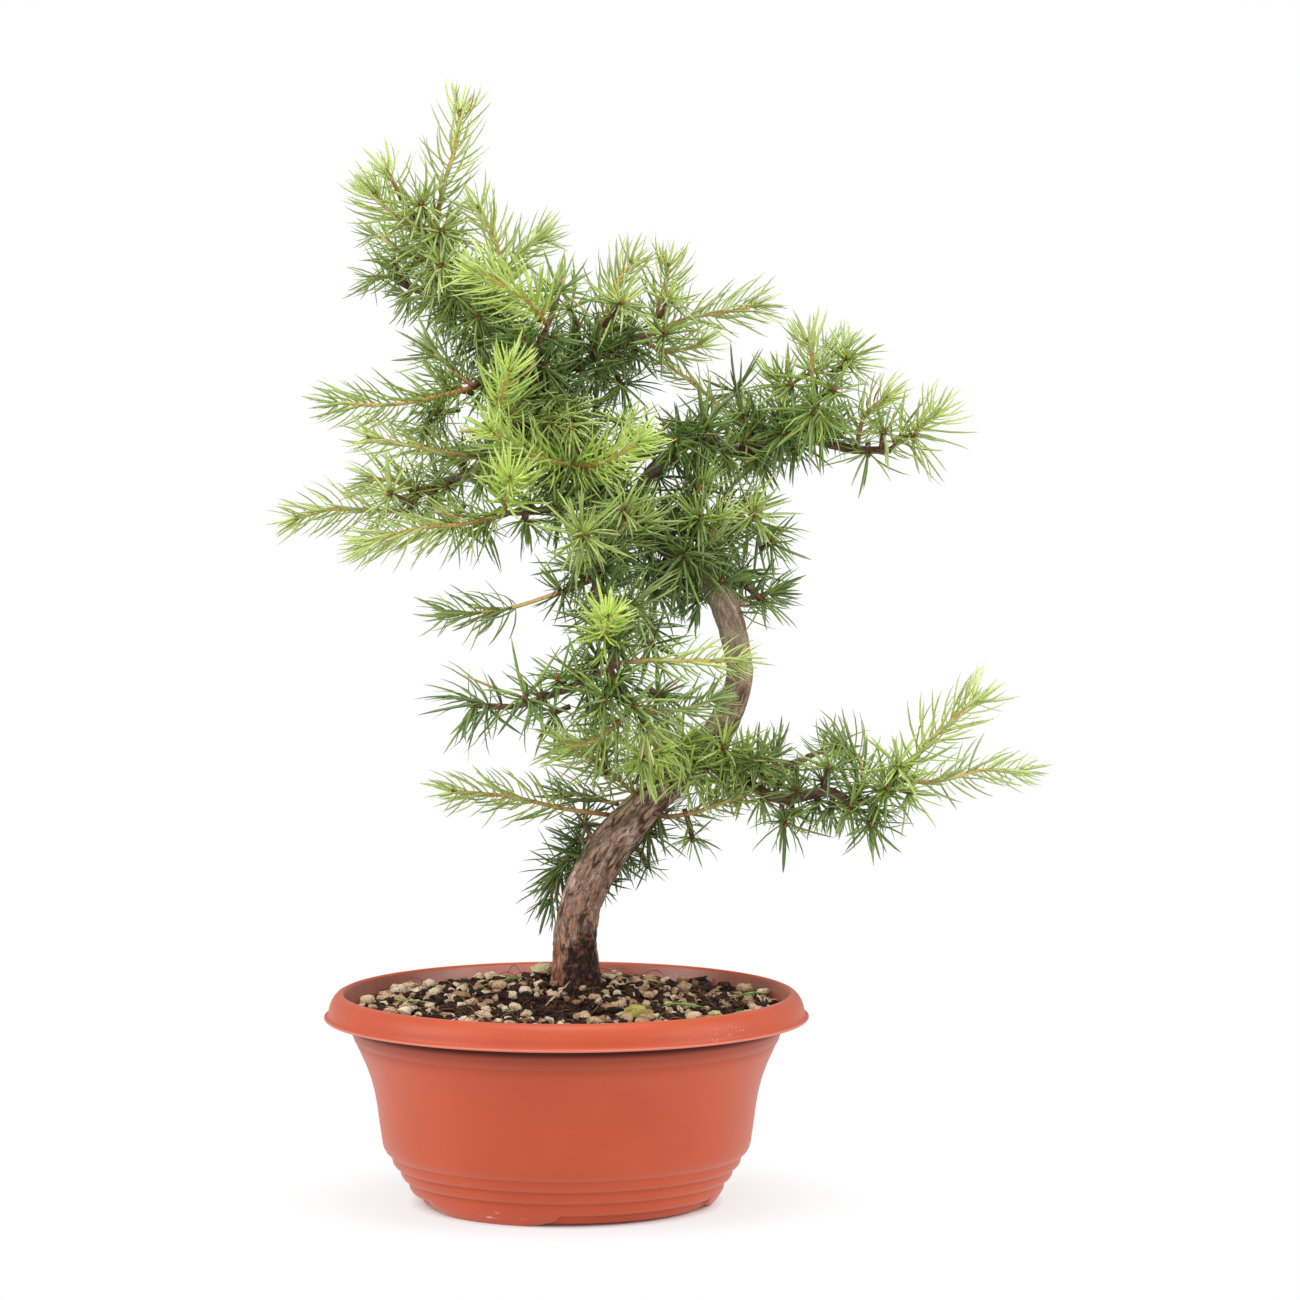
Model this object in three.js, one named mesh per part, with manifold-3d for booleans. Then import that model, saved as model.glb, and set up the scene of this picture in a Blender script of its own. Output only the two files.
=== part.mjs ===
/**
 * A young larch grown as an informal upright bonsai, in its round plastic growing pot.
 *
 * Millimetres, +Z up. The origin is the centre of the flat underside of the pot's floor.
 * The tree faces -Y: its trunk leans towards +X and swings back over the pot to -X.
 *
 * The pieces are the pot, the soil that fills it, the wood of the tree as one grown piece, and
 * one solid for each leafy shoot or small group of spurs, with its needles fused to its stem.
 */
import * as THREE from 'three';
import { mergeVertices } from 'three/addons/utils/BufferGeometryUtils.js';
import Module from 'manifold-3d';

const wasm = await Module();
wasm.setup();

// ---------------------------------------------------------------- driving dimensions, mm

const GAP = 0.3; // clearance between neighbouring pieces
const FLATNESS = 0.02; // corners that stand out less than this are left out of the joined solids
const GRID = 0.01; // finished corners lie on multiples of this
const GRID_SHIFTS = [0, 0.3, -0.3]; // tried in turn, in steps of the grid

// Pot: outer and inner wall as [radius, height]
const POT_SIDES = 32;
const POT_UNDERSIDE_RADIUS = 66;
const POT_FLOOR = 2;
const FOOT_HEIGHT = 1.2;
const BASE_STEP = 3.4; // height of the recessed ring that shows between the feet
const FOOT_SPAN = 36; // degrees
const FOOT_BEARINGS = [-119, 1, 121]; // degrees anticlockwise from +X
const FOOT_SECTION = [
  [57, -FOOT_HEIGHT], [67.4, -FOOT_HEIGHT], [69.2, 2.5], [69.5, 4.2], [65.8, 4.2], [65.8, 1], [57, 1],
];
const POT_BANDS = [
  [69.8, BASE_STEP], [71.8, 8.6],
  [74.4, 10.4], [76.2, 15],
  [78, 16.6], [79.8, 20.6],
  [82, 22.2], [85, 28],
];
const POT_FLARE = [[86.9, 44], [89.8, 57], [97.9, 76.5]];
const POT_LIP_UNDER = [[101, 90.6], [106.4, 88.6], [109.5, 83.8]];
const POT_LIP_TOP = [[110.9, 84.4], [108.8, 90.6], [104, 95.4], [101.6, 95.2]];
const POT_INSIDE = [[96, 77], [87.6, 57], [84.6, 42], [81.4, 26], [64, POT_FLOOR]];
const DRAIN_HOLES = 6;
const DRAIN_RADIUS = 4;
const DRAIN_CIRCLE_RADIUS = 40;
const DRAIN_SIDES = 8;
const DRAIN_TURN = 0.37; // of the step from one hole to the next

// Soil: its wall follows the pot's inside, its top rises in a low mound to the trunk
const SOIL_WALL_GAP = 0.5;
const SOIL_EDGE_HEIGHT = 86.5;
const SOIL_TOP_RINGS = [72, 46, 24];
const MOUND_HEIGHT = 10;
const MOUND_SPREAD = 42;
const RIPPLE_HEIGHT = 0.7;
const RIPPLE_LENGTHS = [9, 11];
const GRAIN_COUNT = 30;
const GRAIN_RADIUS = [3, 4.6];
const GRAIN_WIDTH = [0.7, 0.95]; // of its length
const GRAIN_THICKNESS = [0.6, 0.8]; // of its length
const GRAIN_LIFT = 0.15; // of its radius: it lies almost half sunk
const GRAIN_SPACING = 12;
const GRAIN_TRUNK_CLEARANCE = 17;
const SOIL_SURFACE_RADIUS = 98.4;

// Wood: rods through [x, y, z, radius]
const TRUNK_SIDES = 12;
const LIMB_SIDES = 5;
const TRUNK = [
  [5, 29, 60, 7.5], [4, 28, 80, 10.5], [4, 28, 95, 11.6], [4, 27, 106, 10.6], [4, 27, 122, 10.2],
  [8, 26, 139, 10], [20, 22, 161, 9.5], [35, 18, 180, 8.5], [51, 16, 194, 7.6], [66, 13, 210, 6.9],
  [76, 10, 228, 6.5], [80, 8, 242, 6.5], [78, 6, 257, 6.3], [72, 4, 276, 6.1], [63, 2, 292, 5.8],
  [49, 0, 301, 5.6], [34, -2, 311, 5.4], [18, -3, 324, 5], [4, -2, 340, 4.6], [-6, 0, 356, 4.3],
  [-15, 3, 369, 4.1], [-23, 6, 385, 3.7], [-32, 8, 398, 3.3], [-41, 9, 407, 2.9], [-50, 9, 416, 2.4],
  [-56, 8, 429, 2.1], [-60, 6, 448, 1.7],
];
const TRUNK_HOLE_GAP = 0.4;
const LIMBS = {
  lowerRight: [
    [65, 13, 205, 3.4], [75, 6, 199, 3], [84, -2, 193, 2.8], [99, -12, 187, 2.5], [120, -20, 191, 2.3],
    [131, -24, 187, 2.1], [147, -29, 191, 1.8], [153, -29, 197, 1.5],
  ],
  lowerRightSpur: [[82, 0, 195, 1.7], [93, 12, 198, 1.5], [104, 22, 200, 1.4], [112, 28, 202, 1.2]],
  rightUpper: [
    [27, -2, 319, 3.4], [34, 4, 329, 3.2], [41, 9, 338, 3.1], [52, 13, 348, 2.9], [62, 16, 350, 2.7],
    [78, 20, 345, 2.6], [88, 22, 348, 2.5], [100, 22, 354, 2.4], [120, 20, 349, 2.2],
    [133, 18, 346, 2.1], [149, 14, 346, 1.7],
  ],
  rightUpperTwig: [[120, 20, 349, 1.6], [116, 10, 360, 1.4], [115, 2, 367, 1.3], [114, -2, 375, 1.1]],
  rightUpperBack: [[88, 22, 348, 1.6], [84, 32, 355, 1.4], [82, 38, 360, 1.2]],
  rightMiddle: [[61, 2, 295, 2], [67, 12, 309, 1.6], [71, 18, 320, 1.3]],
  highRight: [
    [-13, 3, 369, 2.4], [-7, 12, 381, 2.2], [0, 18, 384, 2.1], [10, 26, 387, 2], [18, 32, 390, 1.9],
    [35, 46, 398, 1.6], [43, 52, 400, 1.4],
  ],
  highFront: [[-15, 3, 371, 1.8], [-14, -8, 384, 1.5], [-12, -15, 395, 1.4], [-8, -22, 403, 1.2]],
  highLeft: [[-42, 9, 408, 2.2], [-54, 18, 414, 1.9], [-75, 30, 422, 1.6], [-81, 33, 425, 1.3]],
  leftMain: [
    [-3, -1, 349, 2.8], [-21, 8, 344, 2.5], [-45, 18, 335, 2.1], [-56, 23, 330, 1.9], [-68, 28, 325, 1.7],
    [-74, 30, 318, 1.4],
  ],
  leftMiddle: [[-22, 6, 384, 1.9], [-34, -4, 379, 1.6], [-43, -14, 376, 1.3]],
  leftFront: [[-6, 0, 356, 2], [-25, -14, 349, 1.7], [-39, -24, 345, 1.3]],
  centreFront: [[-10, 2, 362, 1.7], [-21, -16, 358, 1.5], [-30, -30, 361, 1.2]],
  brushFront: [[16, -3, 325, 2], [-2, -18, 321, 1.7], [-27, -34, 319, 1.3]],
  centreBack: [[-6, 0, 355, 1.8], [4, 14, 360, 1.6], [15, 22, 362, 1.4], [21, 20, 360, 1.2]],
  hanging: [
    [34, -2, 310, 2.5], [21, -28, 302, 2.2], [14, -44, 292, 2], [17, -54, 277, 1.8], [21, -60, 261, 1.6],
    [22, -62, 241, 1.4], [29, -60, 233, 1.2],
  ],
  hangingTwig: [[22, -61, 252, 1.4], [15, -66, 248, 1.3], [9, -70, 246, 1.1]],
  lowFront: [[38, 18, 181, 1.8], [42, 10, 178, 1.6], [47, 5, 177, 1.2]],
  lowBack: [[25, 20, 166, 1.9], [30, 34, 160, 1.6], [34, 42, 157, 1.2]],
};

// Leafy shoots: a stem with single needles all along it. Spurs: a bud with a tuft of needles.
const STEM_SIDES = 5; // a needle stands on the middle of a side
const STEM_RADIUS = 1.15;
const STEM_TIP_RADIUS = 0.85;
const STEM_STEP = 0.2; // how closely a stem's foot is fitted to the bark
const RING_POINTS = 10; // points of the two rings on the foot that keep clear of the bark
const STALK_SIDES = 4;
const BUD_RADIUS = 2.1;
const NEEDLE_SIDES = 3;
const NEEDLE_ROOT_RADIUS = 0.42;
const NEEDLE_RADIUS = 0.6;
const SLENDER_ROOT_RADIUS = 0.68; // a long shoot's needle is widest at its root
const NEEDLE_PITCH = 6; // stem length for each needle
const NEEDLE_LENGTHS = [0.85, 1.08]; // of the length given for the spray
const TUFT_LENGTH = 0.88; // a shoot's tip bears shorter needles
const TUFT_PITCH = 0.9;
const TUFT_LEAN = 0.6; // radians from the stem
const SHOOT_LEAN = [1.2, 0.85]; // from the root of a shoot to its tip
const LEAN_SPREAD = 0.12;
const BARE_ROOT = 0.1; // share of a shoot with no needle
const SPUR_LIFT = [0.1, 0.35]; // how far a spur's needles turn towards its stalk's direction
const NEEDLE_DROOP = 0.1; // of its length, at the most
const NEEDLE_BOW = 0.03; // of its length
const LOWEST_TIP = 103; // above the mound of soil
const NEEDLE_TRIES = 8;
const TRUNK_SWELLS = [0.045, 0.03]; // of the radius: two or three long swellings round the trunk
const LONG_SHOOT = 42; // a stem longer than this has a bend more
const SPUR_BACK = -0.2; // faces of a bud that look further back than this bear no needle
const TONES = { bright: 0xa8cf4e, light: 0x8fbb50, mid: 0x6c9c40, dark: 0x3f6b35 };

const shoot = (...stem) => ({ kind: 'shoot', stem });
const spur = (...stem) => ({ kind: 'spur', stem });

// [node name, tone, needle length, the stems that share the node]
const SPRAYS = [
  ['shoot_leader', 'light', 23, shoot([-60, 6, 450], [-55, 4, 471], [-50, 2, 490], [-47, 0, 505])],
  [
    'shoot_crown_left_high', 'light', 22,
    shoot([-60, 7, 443], [-69, 2, 448], [-79, -4, 454], [-87, -10, 464]),
  ],
  ['shoot_crown_left_low', 'mid', 21, shoot([-58, 8, 432], [-72, 14, 435], [-83, 20, 442], [-89, 24, 445])],
  ['shoot_crown_left_back', 'mid', 23, shoot([-81, 33, 425], [-87, 36, 426], [-92, 38, 424])],
  [
    'shoot_crown_front', 'bright', 24,
    shoot([-9, -23, 405], [-16, -33, 414], [-28, -43, 422], [-39, -48, 428]),
  ],
  ['shoot_crown_middle', 'light', 21, shoot([-41, 9, 407], [-30, 0, 425], [-33, -8, 445], [-40, -12, 457])],
  ['shoot_crown_back', 'light', 21, shoot([-33, 8, 399], [-28, 20, 425], [-17, 26, 440], [-8, 30, 446])],
  ['spur_crown_front', 'mid', 22, spur([-8, -22, 403], [-5, -14, 412], [-3, -10, 419])],
  [
    'shoots_high_right_inner', 'light', 22,
    shoot([12, 28, 388], [17, 28, 405], [24, 33, 424], [30, 36, 432]),
    spur([17, 28, 403], [22, 20, 408], [25, 14, 413]),
  ],
  ['shoot_high_right_upper', 'light', 21, shoot([41, 51, 401], [43, 48, 414], [46, 45, 424], [47, 43, 431])],
  ['shoot_high_right_end', 'light', 22, shoot([44, 53, 401], [56, 57, 406], [74, 60, 409], [88, 62, 412])],
  ['shoot_high_right_low', 'light', 19, shoot([34, 46, 397], [45, 38, 391], [54, 35, 392], [62, 33, 395])],
  ['shoot_thin_twig', 'light', 15, shoot([84, 32, 355], [74, 42, 363], [57, 51, 377], [44, 57, 386])],
  [
    'shoot_left_middle_back', 'mid', 22,
    shoot([-43, -14, 377], [-50, -7, 382], [-56, -2, 388], [-62, 2, 391]),
  ],
  [
    'shoot_left_middle', 'mid', 22,
    shoot([-44, -15, 375], [-60, -26, 371], [-80, -33, 368], [-103, -40, 369]),
  ],
  [
    'shoot_left_front', 'light', 20,
    shoot([-39, -24, 344], [-52, -32, 346], [-70, -40, 350], [-88, -46, 354]),
  ],
  [
    'shoot_centre_front', 'bright', 22,
    shoot([-30, -31, 361], [-29, -40, 369], [-27, -46, 377], [-24, -52, 385]),
  ],
  [
    'shoots_centre_pair', 'bright', 23,
    shoot([5, -3, 338], [3, -18, 340], [-14, -36, 345], [-33, -54, 357]),
    shoot([2, -19, 340], [14, -28, 341], [23, -40, 345], [33, -52, 352]),
  ],
  ['spur_centre_back', 'bright', 22, spur([21, 20, 360], [25, 11, 358], [27, 6, 357])],
  ['shoot_left_end', 'light', 22, shoot([-75, 31, 317], [-90, 32, 317], [-108, 29, 318], [-125, 24, 314])],
  ['shoot_left_low', 'light', 23, shoot([-28, -34, 318], [-44, -46, 315], [-66, -52, 313], [-88, -58, 307])],
  ['shoot_brush_front', 'bright', 24, shoot([-27, -35, 321], [-26, -48, 329], [-24, -60, 336])],
  [
    'shoots_hanging_upper', 'mid', 25,
    shoot([14, -44, 293], [16, -41, 304], [25, -38, 311], [35, -34, 316]),
    spur([15, -42, 299], [10, -55, 306], [8, -62, 310]),
  ],
  ['shoot_hanging_left', 'mid', 22, shoot([14, -46, 290], [-4, -40, 283], [-28, -28, 275], [-55, -16, 272])],
  [
    'shoot_hanging_low_left', 'dark', 27,
    shoot([8, -71, 246], [-5, -77, 240], [-22, -78, 235], [-39, -72, 235]),
  ],
  [
    'shoot_hanging_bright', 'bright', 24,
    shoot([21, -61, 262], [17, -70, 269], [20, -76, 274], [24, -82, 279]),
  ],
  ['shoot_low_left', 'light', 23, shoot([20, 22, 176], [-2, 4, 181], [-25, -12, 188], [-51, -26, 192])],
  [
    'shoot_hanging_right', 'bright', 22,
    shoot([22, -61, 253], [39, -58, 254], [60, -46, 253], [80, -34, 252]),
  ],
  ['shoot_hanging_tip', 'mid', 21, shoot([29, -60, 232], [45, -56, 231], [56, -50, 232], [67, -42, 235])],
  ['shoot_hanging_under', 'mid', 22, shoot([28, -61, 231], [21, -71, 224], [8, -79, 218], [-1, -85, 219])],
  ['spur_hanging_low', 'mid', 26, spur([22, -62, 240], [20, -68, 239], [18, -72, 238])],
  ['spur_trunk_bend', 'mid', 21, spur([62, 12, 206], [56, 0, 209], [53, -6, 212])],
  ['shoot_trunk_right', 'dark', 24, shoot([74, 5, 272], [84, 12, 277], [90, 17, 279], [96, 21, 280])],
  ['spur_trunk_back', 'mid', 22, spur([64, 4, 293], [76, 22, 290], [81, 29, 289])],
  ['spur_trunk_front', 'dark', 30, spur([60, 0, 294], [55, -12, 296], [53, -17, 298])],
  ['shoot_low_back', 'dark', 22, shoot([14, 24, 152], [4, 40, 156], [-4, 46, 147], [-9, 52, 131])],
  [
    'shoots_low_front', 'mid', 22,
    shoot([47, 5, 177], [57, 0, 179], [70, -8, 184], [82, -14, 189]),
    spur([55, 1, 179], [57, 5, 172], [58, 8, 167]),
  ],
  ['spur_low_back', 'dark', 22, spur([34, 43, 156], [36, 50, 152], [37, 54, 149])],
  ['spur_lower_right_end', 'bright', 20, spur([149, -29, 193], [150, -35, 200], [151, -39, 205])],
  [
    'shoot_lower_right_up', 'light', 24,
    shoot([153, -29, 198], [162, -35, 212], [174, -43, 225], [185, -48, 236]),
  ],
  [
    'shoot_lower_right_end', 'light', 19,
    shoot([154, -28, 197], [168, -23, 196], [190, -12, 200], [212, -4, 199]),
  ],
  [
    'shoot_lower_right_mid', 'mid', 21,
    shoot([133, -24, 188], [136, -15, 198], [133, -10, 207], [126, -6, 213]),
  ],
  ['spur_lower_right_back', 'dark', 20, spur([113, 29, 203], [120, 34, 205], [125, 37, 206])],
  ['spur_lower_right_root', 'dark', 21, spur([85, -3, 193], [88, -9, 200], [88, -13, 204])],
  ['spur_lower_right_under', 'dark', 26, spur([99, -12, 186], [99, -17, 181], [100, -20, 177])],
  ['spur_lower_right_low', 'dark', 23, spur([138, -27, 188], [139, -33, 183], [139, -37, 179])],
  ['spur_right_upper_root', 'dark', 21, spur([62, 16, 350], [61, 7, 351], [60, 2, 352])],
  ['spur_right_upper_mid', 'dark', 22, spur([100, 22, 354], [100, 13, 355], [100, 8, 354])],
  ['shoot_right_upper_end', 'light', 23, shoot([150, 14, 347], [156, 8, 353], [162, 4, 359], [168, 0, 367])],
  ['spur_right_upper_front', 'mid', 27, spur([115, 2, 367], [114, -6, 365], [114, -11, 364])],
  [
    'shoots_right_upper_top', 'light', 22,
    shoot([114, -3, 376], [112, -9, 383], [112, -13, 391], [110, -16, 397]),
    shoot([112, -8, 382], [118, 2, 384], [125, 12, 391]),
  ],
  [
    'shoot_right_upper_back', 'light', 19,
    shoot([134, 18, 347], [137, 15, 361], [141, 12, 366], [147, 10, 370]),
  ],
  ['spur_right_upper_back', 'dark', 24, spur([82, 39, 361], [80, 45, 368], [79, 49, 372])],
  ['shoot_right_middle_end', 'light', 20, shoot([71, 19, 321], [76, 24, 328], [82, 27, 334], [90, 29, 339])],
  ['shoot_right_middle_inner', 'mid', 20, shoot([64, 8, 303], [57, 5, 315], [58, 1, 324], [64, -4, 332])],
  [
    'shoots_right_middle_low', 'mid', 22,
    shoot([70, 17, 317], [79, 13, 316], [85, 7, 320]),
    spur([78, 14, 316], [85, 23, 311], [89, 29, 308]),
  ],
];

// ---------------------------------------------------------------- solids

/** A repeatable stream of numbers from 0 to 1. */
function randomStream(seed) {
  let state = seed;
  return () => {
    state = (state + 0x6d2b79f5) | 0;
    let mixed = Math.imul(state ^ (state >>> 15), 1 | state);
    mixed = (mixed + Math.imul(mixed ^ (mixed >>> 7), 61 | mixed)) ^ mixed;
    return ((mixed ^ (mixed >>> 14)) >>> 0) / 4294967296;
  };
}

const between = (random, low, high) => low + (high - low) * random();

/** Turns a closed three.js geometry into a solid that can be joined and cut. */
function solidOf(geometry) {
  const bare = geometry.index ? geometry.clone() : geometry;
  bare.deleteAttribute('normal');
  bare.deleteAttribute('uv');
  const merged = mergeVertices(bare, 1e-4);
  return new wasm.Manifold(new wasm.Mesh({
    numProp: 3,
    vertProperties: Float32Array.from(merged.attributes.position.array),
    triVerts: Uint32Array.from(merged.index.array),
  })).setTolerance(FLATNESS);
}

/** True where every edge of a geometry joins just two triangles. */
function isClosed({ index }) {
  const uses = new Map();
  for (let i = 0; i < index.count; i += 3) {
    for (const [from, to] of [[0, 1], [1, 2], [2, 0]]) {
      const ends = [index.getX(i + from), index.getX(i + to)].sort((a, b) => a - b).join(' ');
      uses.set(ends, (uses.get(ends) ?? 0) + 1);
    }
  }
  return [...uses.values()].every((count) => count === 2);
}

/** A solid's geometry with its corners moved to a fine grid, which closes its slivers. */
function onGrid(solid, shift) {
  const { vertProperties, triVerts } = solid.getMesh();
  const moved = Float32Array.from(vertProperties, (value) => Math.round(value / GRID + shift) * GRID);
  const loose = new THREE.BufferGeometry();
  loose.setAttribute('position', new THREE.BufferAttribute(moved, 3));
  loose.setIndex(new THREE.BufferAttribute(triVerts, 1));
  const geometry = mergeVertices(loose, GRID / 4);
  const triangles = [];
  for (let i = 0; i < geometry.index.count; i += 3) {
    const corners = [0, 1, 2].map((j) => geometry.index.getX(i + j));
    if (new Set(corners).size === 3) {
      triangles.push(...corners);
    }
  }
  geometry.setIndex(triangles);
  return geometry;
}

/** Turns a finished solid into a named mesh, on the first grid that leaves it closed. */
function meshOf(name, solid, colour, roughness) {
  const tidy = solid.asOriginal().simplify(FLATNESS);
  const geometry = GRID_SHIFTS.map((shift) => onGrid(tidy, shift)).find(isClosed);
  if (!geometry) {
    throw new Error(`${name} has an edge that doesn't join two triangles`);
  }
  geometry.computeVertexNormals();
  const material = new THREE.MeshStandardMaterial({ color: colour, roughness, metalness: 0 });
  const mesh = new THREE.Mesh(geometry, material);
  mesh.name = name;
  return mesh;
}

/** A profile of [radius, height] points spun about the Z axis. */
function turned(profile, sides) {
  const points = profile.map(([radius, height]) => new THREE.Vector2(radius, height));
  return new THREE.LatheGeometry(points, sides).rotateX(Math.PI / 2);
}

/** Two directions square to a tangent, steady along a limb whose overall direction is given. */
function frameAcross(tangent, overall) {
  const sizes = overall.toArray().map(Math.abs);
  const least = sizes.indexOf(Math.min(...sizes));
  const side = new THREE.Vector3().setComponent(least, 1).cross(tangent).normalize();
  return [side, tangent.clone().cross(side)];
}

const vectorsOf = (points) => points.map(([x, y, z]) => new THREE.Vector3(x, y, z));
const smoothCurve = (points) => new THREE.CatmullRomCurve3(vectorsOf(points));

/**
 * A round rod through stations of [x, y, z, radius], made from a cylinder that is bent along
 * them. A pointed rod's last station has no radius. `swell` varies the radius round the rod.
 */
function rod(stations, sides, { perSpan = 1, pointed = false, swell = null, margin = 0 } = {}) {
  const curve = smoothCurve(stations);
  const spans = stations.length - 1;
  const overall = curve.getPoint(1).sub(curve.getPoint(0)).normalize();
  const geometry = new THREE.CylinderGeometry(pointed ? 0 : 1, 1, 1, sides, spans * perSpan);
  const position = geometry.attributes.position;
  const vertex = new THREE.Vector3();
  for (let i = 0; i < position.count; i += 1) {
    vertex.fromBufferAttribute(position, i);
    const along = Math.min(Math.max(vertex.y + 0.5, 0), 1);
    const span = Math.min(Math.floor(along * spans + 1e-6), spans - 1);
    const blend = along * spans - span;
    const taper = pointed ? Math.max(1 - along, 1e-9) : 1;
    let radius = THREE.MathUtils.lerp(stations[span][3], stations[span + 1][3], blend) + margin;
    radius *= swell ? swell(Math.atan2(vertex.z, vertex.x), along * spans) : 1;
    const [side, across] = frameAcross(curve.getTangent(along), overall);
    const point = curve.getPoint(along);
    point.addScaledVector(side, (vertex.x / taper) * radius);
    point.addScaledVector(across, (-vertex.z / taper) * radius);
    position.setXYZ(i, point.x, point.y, point.z);
  }
  return solidOf(geometry);
}

const unionOf = (solids) => solids.reduce((joined, solid) => joined.add(solid));

// ---------------------------------------------------------------- what the twigs keep clear of

const obstacles = []; // { line, radius, owner }

function addObstacle(a, b, radius, owner) {
  const line = new THREE.Line3(a.clone(), b.clone());
  const middle = line.getCenter(new THREE.Vector3());
  obstacles.push({ line, middle, half: line.distance() / 2, radius, owner });
}

/** The least distance from a point to the obstacles' surfaces, for the obstacles that count. */
function clearance(point, counts) {
  const nearest = new THREE.Vector3();
  let least = Infinity;
  for (const obstacle of obstacles) {
    if (counts(obstacle) && point.distanceTo(obstacle.middle) - obstacle.half - obstacle.radius < least) {
      obstacle.line.closestPointToPoint(point, true, nearest);
      least = Math.min(least, nearest.distanceTo(point) - obstacle.radius);
    }
  }
  return least;
}

// ---------------------------------------------------------------- pot

/** One foot: a wedge of a low ring, sunk into the pot's underside. */
function potFoot(bearing) {
  const ring = solidOf(turned([...FOOT_SECTION, FOOT_SECTION[0]], POT_SIDES));
  const reach = 90; // the wedge is drawn well past the ring
  const half = THREE.MathUtils.degToRad(FOOT_SPAN / 2);
  const sector = new THREE.Shape([
    new THREE.Vector2(0, 0),
    new THREE.Vector2(reach * Math.cos(half), -reach * Math.sin(half)),
    new THREE.Vector2(reach * Math.cos(half), reach * Math.sin(half)),
  ]);
  const wedge = new THREE.ExtrudeGeometry(sector, { depth: 20, bevelEnabled: false });
  wedge.translate(0, 0, -10).rotateZ(THREE.MathUtils.degToRad(bearing));
  return ring.intersect(solidOf(wedge));
}

/** The pot: a flared, banded wall with a rolled lip, a floor with drain holes, and three feet. */
function pot() {
  let body = solidOf(turned([
    [0, 0],
    [POT_UNDERSIDE_RADIUS, 0],
    [POT_UNDERSIDE_RADIUS, BASE_STEP],
    ...POT_BANDS,
    ...POT_FLARE,
    ...POT_LIP_UNDER,
    ...POT_LIP_TOP,
    ...POT_INSIDE,
    [0, POT_FLOOR],
  ], POT_SIDES));
  for (const bearing of FOOT_BEARINGS) {
    body = body.add(potFoot(bearing));
  }
  for (let i = 0; i < DRAIN_HOLES; i += 1) {
    const bearing = (2 * Math.PI * (i + DRAIN_TURN)) / DRAIN_HOLES;
    const drill = new THREE.CylinderGeometry(DRAIN_RADIUS, DRAIN_RADIUS, 5 * POT_FLOOR, DRAIN_SIDES);
    drill.rotateX(Math.PI / 2).translate(DRAIN_CIRCLE_RADIUS, 0, POT_FLOOR / 2).rotateZ(bearing);
    body = body.subtract(solidOf(drill));
  }
  return body;
}

// ---------------------------------------------------------------- wood

/** Uneven bark: long swellings that wind slowly round the trunk. */
function barkSwell(angle, station) {
  const [pair, three] = TRUNK_SWELLS;
  return 1 + pair * Math.sin(2 * angle + 1.7 * station) + three * Math.sin(3 * angle - 2.3 * station + 1);
}

/** Closes a limb with a blunt tip beyond its last station. */
function withTip(stations) {
  const [last, previous] = [stations.at(-1), stations.at(-2)];
  const end = new THREE.Vector3(...last);
  const direction = end.clone().sub(new THREE.Vector3(...previous)).normalize();
  const tip = end.addScaledVector(direction, 0.9 * last[3]);
  return [...stations, [tip.x, tip.y, tip.z, 0]];
}

/** Adds a rod's spans to what the shoots keep clear of. */
function blockAlong(stations, owner) {
  const curve = smoothCurve(stations);
  const steps = (stations.length - 1) * 2;
  for (let i = 0; i < steps; i += 1) {
    const radius = Math.max(stations[Math.floor(i / 2)][3], stations[Math.ceil(i / 2)][3]);
    addObstacle(curve.getPoint(i / steps), curve.getPoint((i + 1) / steps), radius, owner);
  }
}

/** The trunk from its stump in the soil to its tip in the crown, or a hole that clears it. */
function trunkRod(margin = 0) {
  const [[x, y, z, radius], ...above] = TRUNK;
  const stations = [[x, y, z - margin, radius], ...above];
  return rod(withTip(stations), TRUNK_SIDES, { pointed: true, swell: barkSwell, margin });
}

/** The trunk and every old limb, grown as one piece. */
function wood() {
  const swollen = 1 + TRUNK_SWELLS[0] + TRUNK_SWELLS[1];
  blockAlong(withTip(TRUNK).map(([x, y, z, radius]) => [x, y, z, radius * swollen]), 'wood');
  const limbs = Object.values(LIMBS).map((stations) => {
    blockAlong(withTip(stations), 'wood');
    return rod(withTip(stations), LIMB_SIDES, { pointed: true });
  });
  return unionOf([trunkRod(), ...limbs]);
}

// ---------------------------------------------------------------- soil

/** The soil's level at a place: flat at the wall, rising in a mound to the trunk. */
function soilLevel(x, y) {
  const distance = Math.hypot(x - TRUNK[2][0], y - TRUNK[2][1]);
  const ripple = RIPPLE_HEIGHT * Math.sin(x / RIPPLE_LENGTHS[0]) * Math.cos(y / RIPPLE_LENGTHS[1]);
  const level = SOIL_EDGE_HEIGHT + MOUND_HEIGHT * Math.exp(-((distance / MOUND_SPREAD) ** 2));
  return level + ripple;
}

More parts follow.
